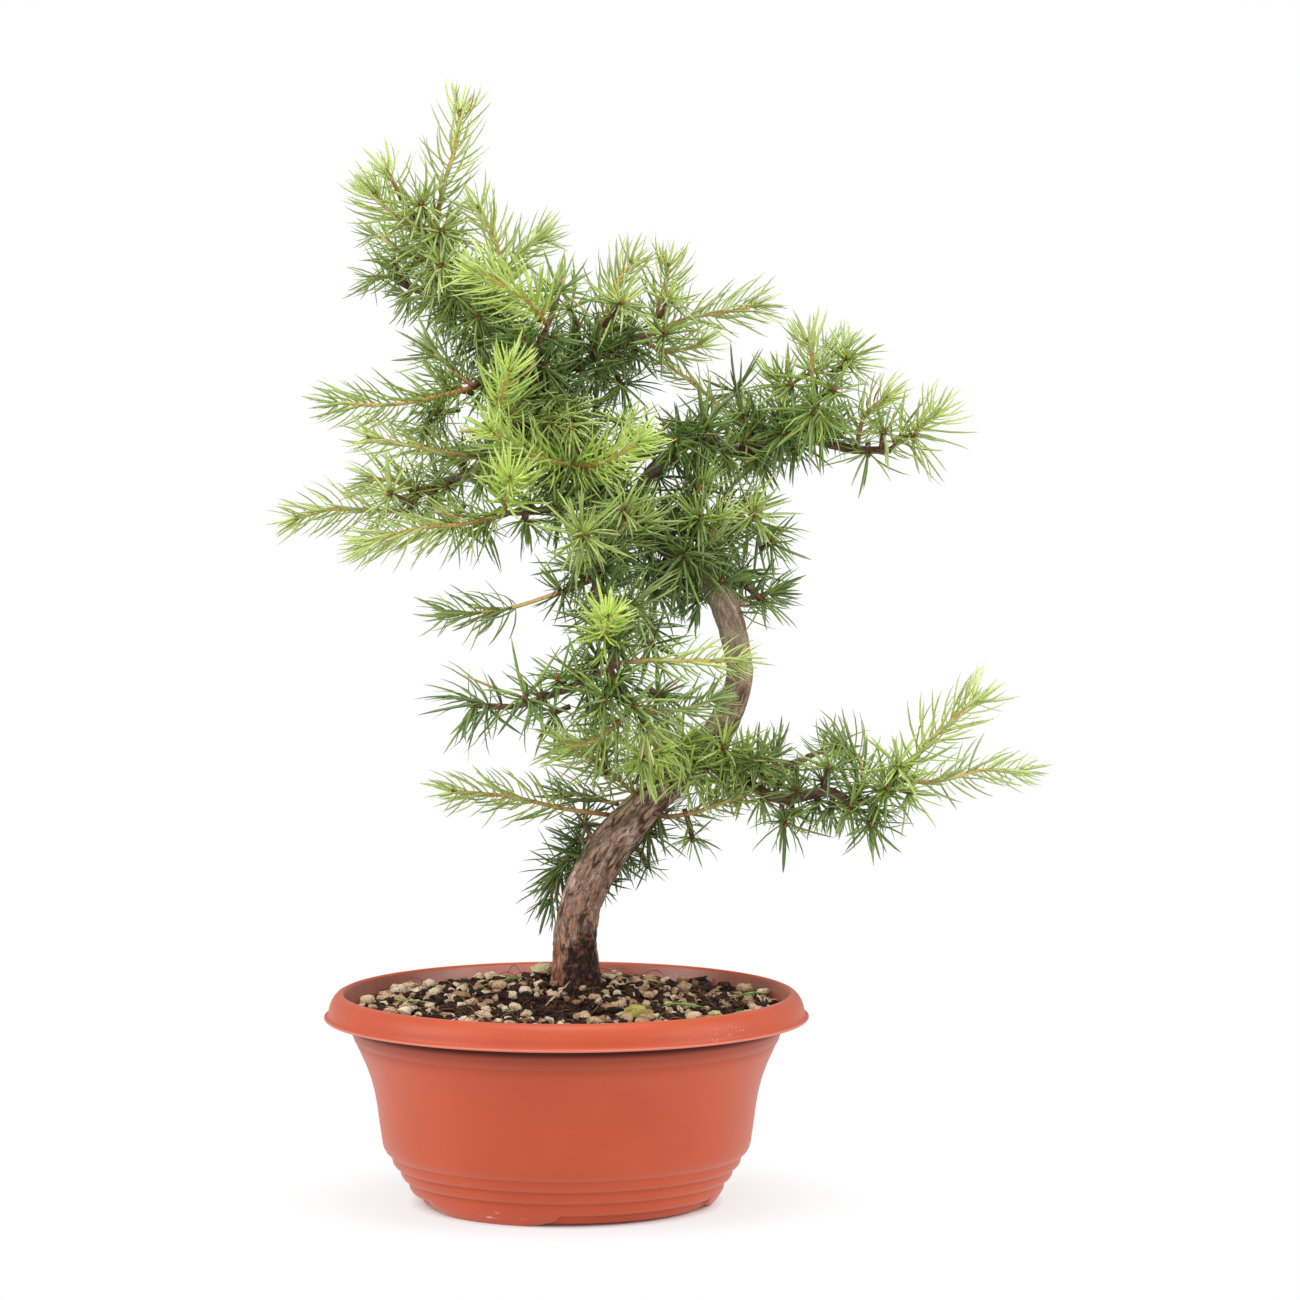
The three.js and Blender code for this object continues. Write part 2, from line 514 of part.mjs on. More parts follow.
/** Pumice grains, half sunk in the top of the soil. */
function grains() {
  const random = randomStream(7);
  const places = [];
  const solids = [];
  while (solids.length < GRAIN_COUNT) {
    const bearing = between(random, 0, 2 * Math.PI);
    const distance = (SOIL_SURFACE_RADIUS - 6) * Math.sqrt(random());
    const place = new THREE.Vector2(distance * Math.cos(bearing), distance * Math.sin(bearing));
    const clearOfTrunk = place.distanceTo(new THREE.Vector2(...TRUNK[2])) > GRAIN_TRUNK_CLEARANCE;
    if (clearOfTrunk && places.every((other) => other.distanceTo(place) > GRAIN_SPACING)) {
      places.push(place);
      const size = between(random, ...GRAIN_RADIUS);
      const grain = new THREE.OctahedronGeometry(size);
      grain.scale(1, between(random, ...GRAIN_WIDTH), between(random, ...GRAIN_THICKNESS));
      grain.rotateX(between(random, -0.5, 0.5)).rotateZ(between(random, 0, Math.PI));
      grain.translate(place.x, place.y, soilLevel(place.x, place.y) + GRAIN_LIFT * size);
      solids.push(solidOf(grain));
    }
  }
  return solids;
}

/** The soil: the pot's filling, with its grains, and the hole that the trunk stands in. */
function soil() {
  const wall = [...POT_INSIDE].reverse().map(([radius, height]) => [radius - SOIL_WALL_GAP, height]);
  wall[0][1] += GAP;
  wall[wall.length - 1] = [SOIL_SURFACE_RADIUS - 0.2, SOIL_EDGE_HEIGHT];
  const geometry = turned([
    [0, POT_FLOOR + GAP],
    ...wall,
    ...SOIL_TOP_RINGS.map((radius) => [radius, SOIL_EDGE_HEIGHT]),
    [0, SOIL_EDGE_HEIGHT],
  ], POT_SIDES);
  const position = geometry.attributes.position;
  for (let i = 0; i < position.count; i += 1) {
    if (position.getZ(i) > SOIL_EDGE_HEIGHT - 0.01) {
      position.setZ(i, soilLevel(position.getX(i), position.getY(i)));
    }
  }
  return unionOf([solidOf(geometry), ...grains()]).subtract(trunkRod(TRUNK_HOLE_GAP));
}

// ---------------------------------------------------------------- leafy shoots and spurs

/** The surface of a mesh as triangles, each with the ball that holds it. */
function surfaceOf(mesh) {
  const { index, attributes } = mesh.geometry;
  return Array.from({ length: index.count / 3 }, (_, i) => {
    const corners = [0, 1, 2].map((j) => index.getX(3 * i + j));
    const triangle = new THREE.Triangle();
    triangle.setFromAttributeAndIndices(attributes.position, ...corners);
    const middle = triangle.getMidpoint(new THREE.Vector3());
    const reach = Math.max(...[triangle.a, triangle.b, triangle.c].map((corner) => corner.distanceTo(middle)));
    return { triangle, middle, reach };
  });
}

/** The point of a surface that is nearest to a given point. */
function nearestOn(surface, point) {
  const candidate = new THREE.Vector3();
  const nearest = new THREE.Vector3(Infinity, Infinity, Infinity);
  for (const { triangle, middle, reach } of surface) {
    if (middle.distanceTo(point) - reach < nearest.distanceTo(point)) {
      triangle.closestPointToPoint(point, candidate);
      if (candidate.distanceTo(point) < nearest.distanceTo(point)) {
        nearest.copy(candidate);
      }
    }
  }
  return nearest;
}

/** The part of a stem that is outside the wood: its curve starts just clear of the bark. */
function stemCurve(points, bark) {
  const given = new THREE.Vector3(...points[0]);
  const isOutside = clearance(given, ({ owner }) => owner === 'wood') > 0;
  const foot = isOutside ? nearestOn(bark, given) : given;
  const whole = smoothCurve([foot.toArray(), ...points.slice(1)]);
  const steps = Math.ceil(whole.getLength() / STEM_STEP);
  let start = steps;
  for (; start > 0; start -= 1) {
    const centre = whole.getPointAt((start - 1) / steps);
    const tangent = whole.getTangentAt((start - 1) / steps);
    const [side, across] = frameAcross(tangent, tangent);
    const footPoints = Array.from({ length: 2 * RING_POINTS }, (_, i) => {
      const turn = (2 * Math.PI * i) / RING_POINTS;
      const out = side.clone().multiplyScalar(Math.cos(turn)).addScaledVector(across, Math.sin(turn));
      return centre.clone().addScaledVector(out, i < RING_POINTS ? STEM_RADIUS : STEM_RADIUS / 2);
    });
    if (footPoints.some((point) => nearestOn(bark, point).distanceTo(point) < 2 * GAP)) {
      break;
    }
  }
  const kept = [0, 1, 2, 3, 4].map((i) => whole.getPointAt((start + ((steps - start) * i) / 4) / steps));
  return smoothCurve(kept.map((point) => point.toArray()));
}

/** The straight spans between a rod's stations, as one curve. */
function axisOf(stations) {
  const joints = vectorsOf(stations);
  const axis = new THREE.CurvePath();
  joints.slice(1).forEach((joint, i) => axis.add(new THREE.LineCurve3(joints[i], joint)));
  return axis;
}

/** A shoot: its stem, and a needle's place on each side of it in turn, up to a tuft at the tip. */
function growShoot(owner, length, random, curve) {
  const spans = curve.getLength() > LONG_SHOOT ? 3 : 2;
  const stations = Array.from({ length: spans + 1 }, (_, i) => [
    ...curve.getPointAt(i / spans).toArray(),
    THREE.MathUtils.lerp(STEM_RADIUS, STEM_TIP_RADIUS, i / spans),
  ]);
  blockAlong(stations, owner);
  const axis = axisOf(stations);
  const overall = axis.getPoint(1).sub(axis.getPoint(0));
  const alongStem = Math.round(axis.getLength() / NEEDLE_PITCH);
  const count = alongStem + STEM_SIDES + 1;
  const plans = Array.from({ length: count }, (_, i) => () => {
    const inTuft = i >= alongStem;
    const isLast = i === count - 1;
    const tuftPlace = 1 - ((count - 0.3 - i) * TUFT_PITCH) / axis.getLength();
    const place = inTuft ? tuftPlace : THREE.MathUtils.lerp(BARE_ROOT, 0.88, i / alongStem);
    const face = (2 * i) % STEM_SIDES;
    const turn = (2 * Math.PI * (face + 0.5)) / STEM_SIDES + between(random, -0.1, 0.1);
    const tangent = axis.getTangent(place);
    const [side, across] = frameAcross(tangent, overall);
    const out = side.multiplyScalar(Math.sin(turn)).addScaledVector(across, -Math.cos(turn));
    const lean = inTuft ? TUFT_LEAN : THREE.MathUtils.lerp(...SHOOT_LEAN, i / alongStem);
    const angle = isLast ? 0 : lean + between(random, -LEAN_SPREAD, LEAN_SPREAD);
    return {
      root: axis.getPoint(place),
      direction: tangent.multiplyScalar(Math.cos(angle)).addScaledVector(out, Math.sin(angle)),
      reach: length * between(random, ...NEEDLE_LENGTHS) * (inTuft ? TUFT_LENGTH : 1),
      slender: true,
    };
  });
  return { solids: [rod(stations, STEM_SIDES)], plans, axis };
}

/** A side stem's curve: it starts on the axis of the stem that it branches from. */
function branchCurve(points, axis) {
  const given = new THREE.Vector3(...points[0]);
  const places = axis.getPoints(24).sort((a, b) => a.distanceTo(given) - b.distanceTo(given));
  return smoothCurve([places[0].toArray(), ...points.slice(1)]);
}

/** A spur: a bud on a short stalk, and a needle's place on each face of the bud but the back. */
function growSpur(owner, length, random, curve) {
  const [foot, heart] = [curve.getPointAt(0), curve.getPointAt(1)];
  const axis = heart.clone().sub(foot).normalize();
  const stations = [[...foot.toArray(), STEM_RADIUS], [...heart.toArray(), STEM_RADIUS]];
  blockAlong(stations, owner);
  addObstacle(heart.clone().sub(axis), heart, BUD_RADIUS, owner);
  const bud = new THREE.IcosahedronGeometry(BUD_RADIUS);
  bud.rotateX(between(random, 0, Math.PI)).rotateZ(between(random, 0, Math.PI));
  const corner = bud.attributes.position;
  const plans = [];
  for (let face = 0; face < corner.count; face += 3) {
    const middle = new THREE.Vector3();
    for (let i = face; i < face + 3; i += 1) {
      middle.add(new THREE.Vector3().fromBufferAttribute(corner, i).divideScalar(3));
    }
    const out = middle.clone().normalize();
    if (out.dot(axis) > SPUR_BACK) {
      plans.push(() => ({
        root: middle.clone().multiplyScalar(0.5).add(heart),
        direction: out.clone().addScaledVector(axis, between(random, ...SPUR_LIFT)).normalize(),
        reach: length * between(random, ...NEEDLE_LENGTHS),
      }));
    }
  }
  bud.translate(...heart.toArray());
  return { solids: [rod(stations, STALK_SIDES), solidOf(bud)], plans };
}

/** A needle's spine: sunk in the core and drooping, and on a spur bowed a little. */
function needleSpine({ root, direction, reach, slender }, random) {
  const tip = root.clone().addScaledVector(direction, reach);
  tip.z -= between(random, 0, NEEDLE_DROOP) * reach;
  if (slender) {
    return [root, root.clone().lerp(tip, 0.5), tip];
  }
  const middle = root.clone().addScaledVector(direction, reach * 0.55);
  const bow = new THREE.Vector3(...[0, 1, 2].map(() => between(random, -NEEDLE_BOW, NEEDLE_BOW)));
  return [root, middle.addScaledVector(bow, reach), tip];
}

/** A needle's solid: a slender spike on a long shoot, widest past its middle on a spur. */
function needleSolid([root, middle, tip], slender) {
  const stations = [[...root.toArray(), slender ? SLENDER_ROOT_RADIUS : NEEDLE_ROOT_RADIUS]];
  if (!slender) {
    stations.push([...middle.toArray(), NEEDLE_RADIUS]);
  }
  return rod([...stations, [...tip.toArray(), 0]], NEEDLE_SIDES, { pointed: true });
}

/** True where a needle's spine touches nothing of another node and crosses none of its own. */
function needleFits([start, middle, tip], owner) {
  const isOther = (obstacle) => obstacle.owner !== owner;
  const isOwnNeedle = (obstacle) => obstacle.owner === owner && obstacle.radius === NEEDLE_RADIUS;
  const samples = 20;
  for (let i = 0; i <= samples; i += 1) {
    const point = start.clone().lerp(middle, (2 * i) / samples);
    if (i > samples / 2) {
      point.copy(middle).lerp(tip, (2 * i) / samples - 1);
    }
    if (clearance(point, isOther) < NEEDLE_RADIUS + GAP + 0.1) {
      return false;
    }
    if (i > samples / 3 && clearance(point, isOwnNeedle) < NEEDLE_RADIUS + 0.05) {
      return false;
    }
  }
  return tip.z > LOWEST_TIP;
}

/** The needles of one stem, each tried in a few directions until it fits. */
function needles(plans, owner, random) {
  const solids = [];
  for (const plan of plans) {
    for (let attempt = 0; attempt < NEEDLE_TRIES; attempt += 1) {
      const planned = plan();
      const spine = needleSpine(planned, random);
      if (needleFits(spine, owner)) {
        const [start, middle, tip] = spine;
        addObstacle(start.clone().lerp(middle, 0.35), middle, NEEDLE_RADIUS, owner);
        addObstacle(middle, tip, NEEDLE_RADIUS, owner);
        solids.push(needleSolid(spine, planned.slender));
        break;
      }
    }
  }
  return solids;
}

// ---------------------------------------------------------------- assembly

const bonsai = new THREE.Group();
bonsai.add(meshOf('pot', pot(), 0xc6583c, 0.45));
bonsai.add(meshOf('soil', soil(), 0x3c2d25, 0.95));
bonsai.add(meshOf('wood', wood(), 0x86695a, 0.85));
const bark = surfaceOf(bonsai.getObjectByName('wood'));

// Every core is placed before any needle grows, so that needles keep clear of all of them.
const sprays = SPRAYS.map(([name, tone, length, ...stems], i) => {
  const random = randomStream(101 + i);
  const grown = [];
  for (const { kind, stem } of stems) {
    const curve = grown.length ? branchCurve(stem, grown[0].axis) : stemCurve(stem, bark);
    grown.push((kind === 'spur' ? growSpur : growShoot)(name, length, random, curve));
  }
  return { name, tone, random, grown };
});

for (const { name, tone, random, grown } of sprays) {
  const solids = grown.flatMap(({ solids: woody, plans }) => [...woody, ...needles(plans, name, random)]);
  bonsai.add(meshOf(name, unionOf(solids), TONES[tone], 0.6));
}

export default bonsai;
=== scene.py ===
"""A young larch grown as an informal upright bonsai, in its round plastic growing pot.

Metres, +Z up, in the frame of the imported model: the origin is the centre of the flat underside
of the pot's floor. Lengths in the tables below are in millimetres, colours in linear light.
"""
import math
import random

import bmesh
import bpy
from mathutils import Matrix, Vector, noise


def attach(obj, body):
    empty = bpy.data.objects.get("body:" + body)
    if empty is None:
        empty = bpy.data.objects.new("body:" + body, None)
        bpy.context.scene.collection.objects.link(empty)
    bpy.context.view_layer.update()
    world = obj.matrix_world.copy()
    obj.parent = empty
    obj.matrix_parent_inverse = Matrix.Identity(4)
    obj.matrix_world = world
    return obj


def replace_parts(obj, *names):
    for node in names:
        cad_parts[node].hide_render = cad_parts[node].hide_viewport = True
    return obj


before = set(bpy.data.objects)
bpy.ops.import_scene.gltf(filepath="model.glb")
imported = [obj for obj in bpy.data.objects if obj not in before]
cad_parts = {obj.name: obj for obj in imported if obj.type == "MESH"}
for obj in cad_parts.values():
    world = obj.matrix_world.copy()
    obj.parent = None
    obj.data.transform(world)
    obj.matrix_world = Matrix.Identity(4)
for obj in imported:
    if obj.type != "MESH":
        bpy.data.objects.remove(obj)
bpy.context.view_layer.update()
MM = 0.001

# ------------------------------------------------------------------ camera, light and floor
# The tree stands on a plain white sweep under soft daylight lamps. It is seen from the front,
# from far off and a little above the pot.
CAMERA_PLACE = (0.0385, -2.400, 0.4308)
CAMERA_TILT = 85.8  # degrees up from looking straight down
CAMERA_LENS = 145.02
LAMPS = {  # place, what it is turned to, its side in metres, watts
    "lamp_left": ((-1.7, -0.7, 1.1), (0.03, 0, 0.25), 1.2, 22),
    "lamp_right": ((1.75, -0.6, 1.0), (0.03, 0, 0.25), 1.2, 20),
    "lamp_above": ((0.0, -0.25, 2.2), (0.03, 0, 0.1), 1.0, 26),
    "lamp_front": ((-0.5, -2.7, 1.5), (0.03, 0, 0.25), 1.2, 14),
}
LIGHT_ALL_ROUND = 0.42
WHITE = (1, 1, 1, 1)
FEET_PLANE = -1.2 * MM
FLOOR_RADIUS = 1.9
FLOOR_SIDES = 96
FLOOR_GREY = (0.92, 0.92, 0.92, 1)


def new_object(name, data):
    """Puts a new object in the scene."""
    made = bpy.data.objects.new(name, data)
    bpy.context.scene.collection.objects.link(made)
    return made


def mesh_of(bm, name):
    """Turns a bmesh into a mesh."""
    data = bpy.data.meshes.new(name)
    bm.to_mesh(data)
    bm.free()
    return data


def add_node(tree, kind, inputs=(), **settings):
    """Adds a shader node. An input is a number, a colour or the output of another node."""
    node = tree.nodes.new("ShaderNode" + kind)
    for name, setting in settings.items():
        setattr(node, name, setting)
    for socket, value in dict(inputs).items():
        if isinstance(value, bpy.types.NodeSocket):
            tree.links.new(value, node.inputs[socket])
        else:
            node.inputs[socket].default_value = value
    return node


def place_on(tree):
    """The place on the object, in metres."""
    return add_node(tree, "TexCoord").outputs["Object"]


def length_of(tree, vector):
    """The length of a vector."""
    return add_node(tree, "VectorMath", {0: vector}, operation="LENGTH").outputs["Value"]


def spread(tree, value, low, high, out_low=0.0, out_high=1.0):
    """Stretches the part of a value from low to high over a new range."""
    return add_node(tree, "MapRange", {"Value": value, "From Min": low, "From Max": high,
                                       "To Min": out_low, "To Max": out_high}).outputs["Result"]


def product(tree, one, other):
    """Two amounts multiplied."""
    return add_node(tree, "Math", {0: one, 1: other}, operation="MULTIPLY").outputs["Value"]


camera = new_object("camera", bpy.data.cameras.new("camera"))
camera.location = CAMERA_PLACE
camera.rotation_euler = (math.radians(CAMERA_TILT), 0, 0)
camera.data.sensor_width = 36
camera.data.lens = CAMERA_LENS
camera.data.clip_end = 50
bpy.context.scene.camera = camera
bpy.context.scene.view_settings.view_transform = "Standard"
bpy.context.scene.view_settings.look = "None"

for name, (stand, aim, side, watts) in LAMPS.items():
    lamp = bpy.data.lights.new(name, "AREA")
    lamp.size, lamp.energy = side, watts
    holder = new_object(name, lamp)
    holder.location = stand
    holder.rotation_euler = (Vector(aim) - Vector(stand)).to_track_quat("-Z", "Y").to_euler()

studio = bpy.data.worlds.new("studio")
studio.use_nodes = True
bpy.context.scene.world = studio
tree = studio.node_tree
around = tree.nodes["Background"]
around.inputs["Color"].default_value = WHITE
around.inputs["Strength"].default_value = LIGHT_ALL_ROUND
backdrop = add_node(tree, "Background", {"Color": WHITE})
either = add_node(tree, "MixShader", {
    "Fac": add_node(tree, "LightPath").outputs["Is Camera Ray"],
    1: around.outputs["Background"], 2: backdrop.outputs["Background"]})
tree.links.new(either.outputs["Shader"], tree.nodes["World Output"].inputs["Surface"])

disc = bmesh.new()
bmesh.ops.create_circle(disc, cap_ends=True, segments=FLOOR_SIDES, radius=FLOOR_RADIUS,
                        matrix=Matrix.Translation((0, 0, FEET_PLANE)))
floor = new_object("floor", mesh_of(disc, "floor"))

# The paper is lit to white, and is only left matt, to take the shade, close to the pot's foot.
sweep = bpy.data.materials.new("white sweep")
sweep.use_nodes = True
tree = sweep.node_tree
tree.nodes.remove(tree.nodes["Principled BSDF"])
matt = add_node(tree, "BsdfDiffuse", {"Color": FLOOR_GREY})
glow = add_node(tree, "Emission")
off_centre = length_of(tree, place_on(tree))
lit = product(tree, spread(tree, off_centre, 0.05, 0.14, 0.60),
              spread(tree, off_centre, 0.064, 0.073, 0.05))
blend = add_node(tree, "MixShader", {
    "Fac": lit, 1: matt.outputs["BSDF"], 2: glow.outputs["Emission"]})
tree.links.new(blend.outputs["Shader"], tree.nodes["Material Output"].inputs["Surface"])
floor.data.materials.append(sweep)

# ------------------------------------------------------------------ pot
# One injection-moulded bowl of matt terracotta-coloured plastic: a flared wall over three rolled
# bands, a hollow rolled lip with a thin edge, a recessed base ring and three low feet with
# stepped ends. It is turned as one profile; the feet are wedges of a low ring, flush with it.
POT_STEPS = 144
POT_BASE = [(0.0, 0.0), (30, 0.0), (64.8, 0.0), (66.4, 0.3), (66.8, 0.8), (67.0, 1.7),
            (67.9, 2.1), (68.2, 4.2)]
POT_BANDS = [(69.4, 4.2), (73.3, 10.3), (77.2, 16.2), (80.9, 21.5)]
BAND_ROLL = [(0, 0), (0.62, 0.10), (0.84, 0.32), (0.95, 0.60), (0.98, 0.86)]  # outward, up
POT_WALL = [(82.2, 22.1), (83.6, 23.4), (84.6, 25.2), (85.2, 27.4), (85.7, 31.0), (86.6, 37.0),
            (87.4, 43.6), (88.7, 51.0), (90.4, 57.6), (92.8, 64.2), (95.7, 70.6), (97.2, 73.9),
            (97.2, 74.4), (97.8, 74.7), (98.9, 77.6), (100.1, 81.6), (101.1, 85.6), (101.9, 88.6)]
POT_LIP = [(102.7, 90.4), (104.0, 91.5), (105.6, 91.2), (107.2, 89.6), (108.6, 87.0),
           (109.6, 85.0), (110.6, 84.6), (111.5, 84.7), (111.9, 85.1), (111.9, 85.5),
           (111.4, 85.8), (110.5, 86.0), (110.2, 86.4), (109.9, 88.0), (109.5, 89.9),
           (108.8, 92.0), (107.5, 94.2), (105.9, 95.8), (104.4, 96.5), (103.4, 96.4),
           (102.7, 95.6)]
POT_INSIDE = [(102.2, 94.0), (101.3, 91.0), (99.8, 86.4), (98.3, 82.0), (95.9, 76.0),
              (91.6, 66.4), (87.6, 56.8), (84.8, 42.0), (82.0, 28.0), (64.0, 2.0), (30, 2.0),
              (0.0, 2.0)]
MOUTH_RADIUS = 102.6
FOOT_OUTLINE = [(57.2, -1.2), (66.9, -1.2), (67.9, -0.7), (68.5, -0.1), (68.8, 0.2), (70.1, 1.7),
                (70.4, 2.1), (71.5, 3.8), (72.4, 5.4), (72.74, 6.8), (57.2, 6.8)]
FOOT_ENDS = [  # height, degrees that it reaches there beyond its sole
    (-1.2, 0.0), (-0.1, 1.0), (0.2, 4.6), (1.7, 6.2), (2.1, 10.0), (3.8, 11.2), (6.8, 12.5)]
FOOT_BEARINGS = (-121, 5, 121)
FOOT_SPAN = 35.4
FOOT_CUTS = 13
LIP_UNDERSIDE = (0.0844, 0.0846)  # metres up, where the painted shade under the lip ends
LIP_EDGE = (0.1112, 0.1117)  # metres out, where a painted highlight lies along its thin edge
CLAY = (0.500, 0.065, 0.017)
PALE_CLAY = (0.560, 0.080, 0.022)
SCUFFED = (0.78, 0.42, 0.34)


def piece_from(bm, name, *materials):
    """Makes a finished piece of a bmesh, smooth shaded, riding on the tree's one body."""
    for face in bm.faces:
        face.smooth = True
    made = new_object(name, mesh_of(bm, name))
    for material in materials:
        made.data.materials.append(material)
    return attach(made, "root")


def rolled_bands():
    """The bands at the foot of the pot: each rises from a ledge and rolls in under the next."""
    points = [(inner + out * (outer - inner), low + up * (high - low))
              for (inner, low), (outer, high) in zip(POT_BANDS, POT_BANDS[1:])
              for out, up in BAND_ROLL]
    return points + [POT_BANDS[-1]]


def cut_along(bm, axis, cuts):
    """Cuts a prism across its length, which lies along an axis (0, 1 or 2)."""
    ribs = [e for e in bm.edges if abs(e.verts[0].co[axis] - e.verts[1].co[axis]) > 0.5]
    bmesh.ops.subdivide_edges(bm, edges=ribs, cuts=cuts)


pot_mesh = bmesh.new()
corners = [pot_mesh.verts.new((radius * MM, 0, height * MM))
           for radius, height in POT_BASE + rolled_bands() + POT_WALL + POT_LIP + POT_INSIDE]
wires = [pot_mesh.edges.new(pair) for pair in zip(corners, corners[1:])]
bmesh.ops.spin(pot_mesh, geom=corners + wires, axis=(0, 0, 1), cent=(0, 0, 0),
               angle=2 * math.pi, steps=POT_STEPS, use_merge=True)
bmesh.ops.remove_doubles(pot_mesh, verts=pot_mesh.verts, dist=2e-6)
bmesh.ops.recalc_face_normals(pot_mesh, faces=pot_mesh.faces)
for face in pot_mesh.faces:  # the second material is for the inside
    middle = face.calc_center_median()
    inward = face.normal.x * middle.x + face.normal.y * middle.y < 0
    if inward and middle.z > 3 * MM and math.hypot(middle.x, middle.y) < MOUTH_RADIUS * MM:
        face.material_index = 1


def foot_reach(height):
    """How many degrees a foot reaches beyond its sole at a height: its ends step outward."""
    for (low, near_end), (high, far_end) in zip(FOOT_ENDS, FOOT_ENDS[1:]):
        if height <= high:
            return near_end + (far_end - near_end) * (height - low) / (high - low)
    return FOOT_ENDS[-1][1]


foot = bmesh.new()
sole = [foot.verts.new((radius * MM, 0, height * MM)) for radius, height in FOOT_OUTLINE]
swept = bmesh.ops.extrude_face_region(foot, geom=[foot.faces.new(sole)])["geom"]
for corner in (g for g in swept if isinstance(g, bmesh.types.BMVert)):
    corner.co.y = 1
cut_along(foot, 1, FOOT_CUTS)
for corner in foot.verts:
    reach = math.radians(FOOT_SPAN / 2 + foot_reach(corner.co.z / MM))
    turn = (2 * corner.co.y - 1) * reach
    corner.co = Vector((corner.co.x * math.cos(turn), corner.co.x * math.sin(turn), corner.co.z))
bmesh.ops.recalc_face_normals(foot, faces=foot.faces)
foot_data = mesh_of(foot, "foot")
for bearing in FOOT_BEARINGS:
    foot_data.transform(Matrix.Rotation(math.radians(bearing), 4, "Z"))
    pot_mesh.from_mesh(foot_data)
    foot_data.transform(Matrix.Rotation(math.radians(-bearing), 4, "Z"))


def shader(name, roughness, specular=0.5):
    """A new material: gives it, its node tree and the inputs of its Principled shader."""
    material = bpy.data.materials.new(name)
    material.use_nodes = True
    surface = material.node_tree.nodes["Principled BSDF"].inputs
    surface["Roughness"].default_value = roughness
    surface["Specular IOR Level"].default_value = specular
    return material, material.node_tree, surface


def mottle(tree, vector, scale, detail=4.0, rough=0.55, stretch=None):
    """Soft noise on a coordinate, from 0 to 1."""
    if stretch:
        vector = add_node(tree, "Mapping", {"Vector": vector, "Scale": stretch}).outputs["Vector"]
    return add_node(tree, "TexNoise", {"Vector": vector, "Scale": scale, "Detail": detail,
                                       "Roughness": rough}).outputs["Fac"]


def ramp(tree, value, *stops):
    """Colours a value: each stop is (place, (red, green, blue))."""
    node = add_node(tree, "ValToRGB", {"Fac": value})
    steps = node.color_ramp.elements
    while len(steps) < len(stops):
        steps.new(1.0)
    for step, (place, colour) in zip(steps, stops):
        step.position = place
        step.color = (*colour, 1)
    return node.outputs["Color"]


def laid_over(tree, amount, under, over):
    """One colour laid over another, by an amount from 0 to 1."""
    under, over = ((*c, 1) if isinstance(c, tuple) else c for c in (under, over))
    mix = add_node(tree, "Mix", {0: amount, 6: under, 7: over}, data_type="RGBA")
    return mix.outputs[2]


def relief(tree, surface, height, depth, distance=0.001):
    """Bump from a height, on the shader's normal."""
    bump = add_node(tree, "Bump", {"Strength": depth, "Distance": distance, "Height": height})
    tree.links.new(bump.outputs["Normal"], surface["Normal"])


def specks(tree, vector, spacing, size, chance):
    """Small round spots strewn about a surface, from 0 to 1: one in some of the cells."""
    cells = add_node(tree, "TexVoronoi", {"Vector": vector, "Scale": 1 / spacing}).outputs
    spot = spread(tree, cells["Distance"], size * 0.7 / spacing, size / spacing, 1.0, 0.0)
    lot = add_node(tree, "SeparateColor", {"Color": cells["Color"]}).outputs["Red"]
    return product(tree, spot, spread(tree, lot, chance, chance - 0.01))


def near(tree, vector, centre, radii):
    """1 inside an oval about a place, in millimetres, fading to 0 at its edge."""
    shift = add_node(tree, "Mapping", vector_type="TEXTURE", inputs={
        "Vector": vector, "Location": Vector(centre) * MM, "Scale": Vector(radii) * MM})
    return spread(tree, length_of(tree, shift.outputs["Vector"]), 1.0, 0.55)


def height_of(tree, vector):
    """The upward part of a coordinate."""
    return add_node(tree, "SeparateXYZ", {"Vector": vector}).outputs["Z"]


plastic, tree, surface = shader("terracotta plastic", 0.46, 0.42)
surface["Sheen Weight"].default_value = 0.22  # handled plastic with a fine dust on it
surface["Sheen Roughness"].default_value = 0.45
surface["Sheen Tint"].default_value = (1.0, 0.80, 0.72, 1)
where = place_on(tree)
cloudy = mottle(tree, where, 26.0, 5.0)
body = ramp(tree, cloudy, (0.3, CLAY), (0.7, PALE_CLAY))
grainy = spread(tree, mottle(tree, where, 1500.0, 2.0), 0.3, 0.7, 0.0, 0.22)
body = laid_over(tree, grainy, body, (0.42, 0.078, 0.036))
for spacing, size, chance, colour in (
        (0.016, 0.00042, 0.34, (0.80, 0.56, 0.48)), (0.023, 0.00055, 0.22, (0.10, 0.035, 0.025))):
    body = laid_over(tree, specks(tree, where, spacing, size, chance), body, colour)
up = height_of(tree, where)
# Painted shade: the wall just under the lip is darkened as if in the lip's shadow, in a broad soft
# band and a narrow dark line under its edge.
under_lip = spread(tree, up, *LIP_UNDERSIDE, 1.0, 0.0)
for low, high, amount in ((0.0690, 0.0830, 0.42), (0.0794, 0.0818, 0.95)):  # painted shade under the lip: a broad soft band, then a narrow dark line
    painted_lip_shade = product(tree, spread(tree, up, low, high, 0.0, amount), under_lip)
    body = laid_over(tree, painted_lip_shade, body, (0.060, 0.006, 0.003))
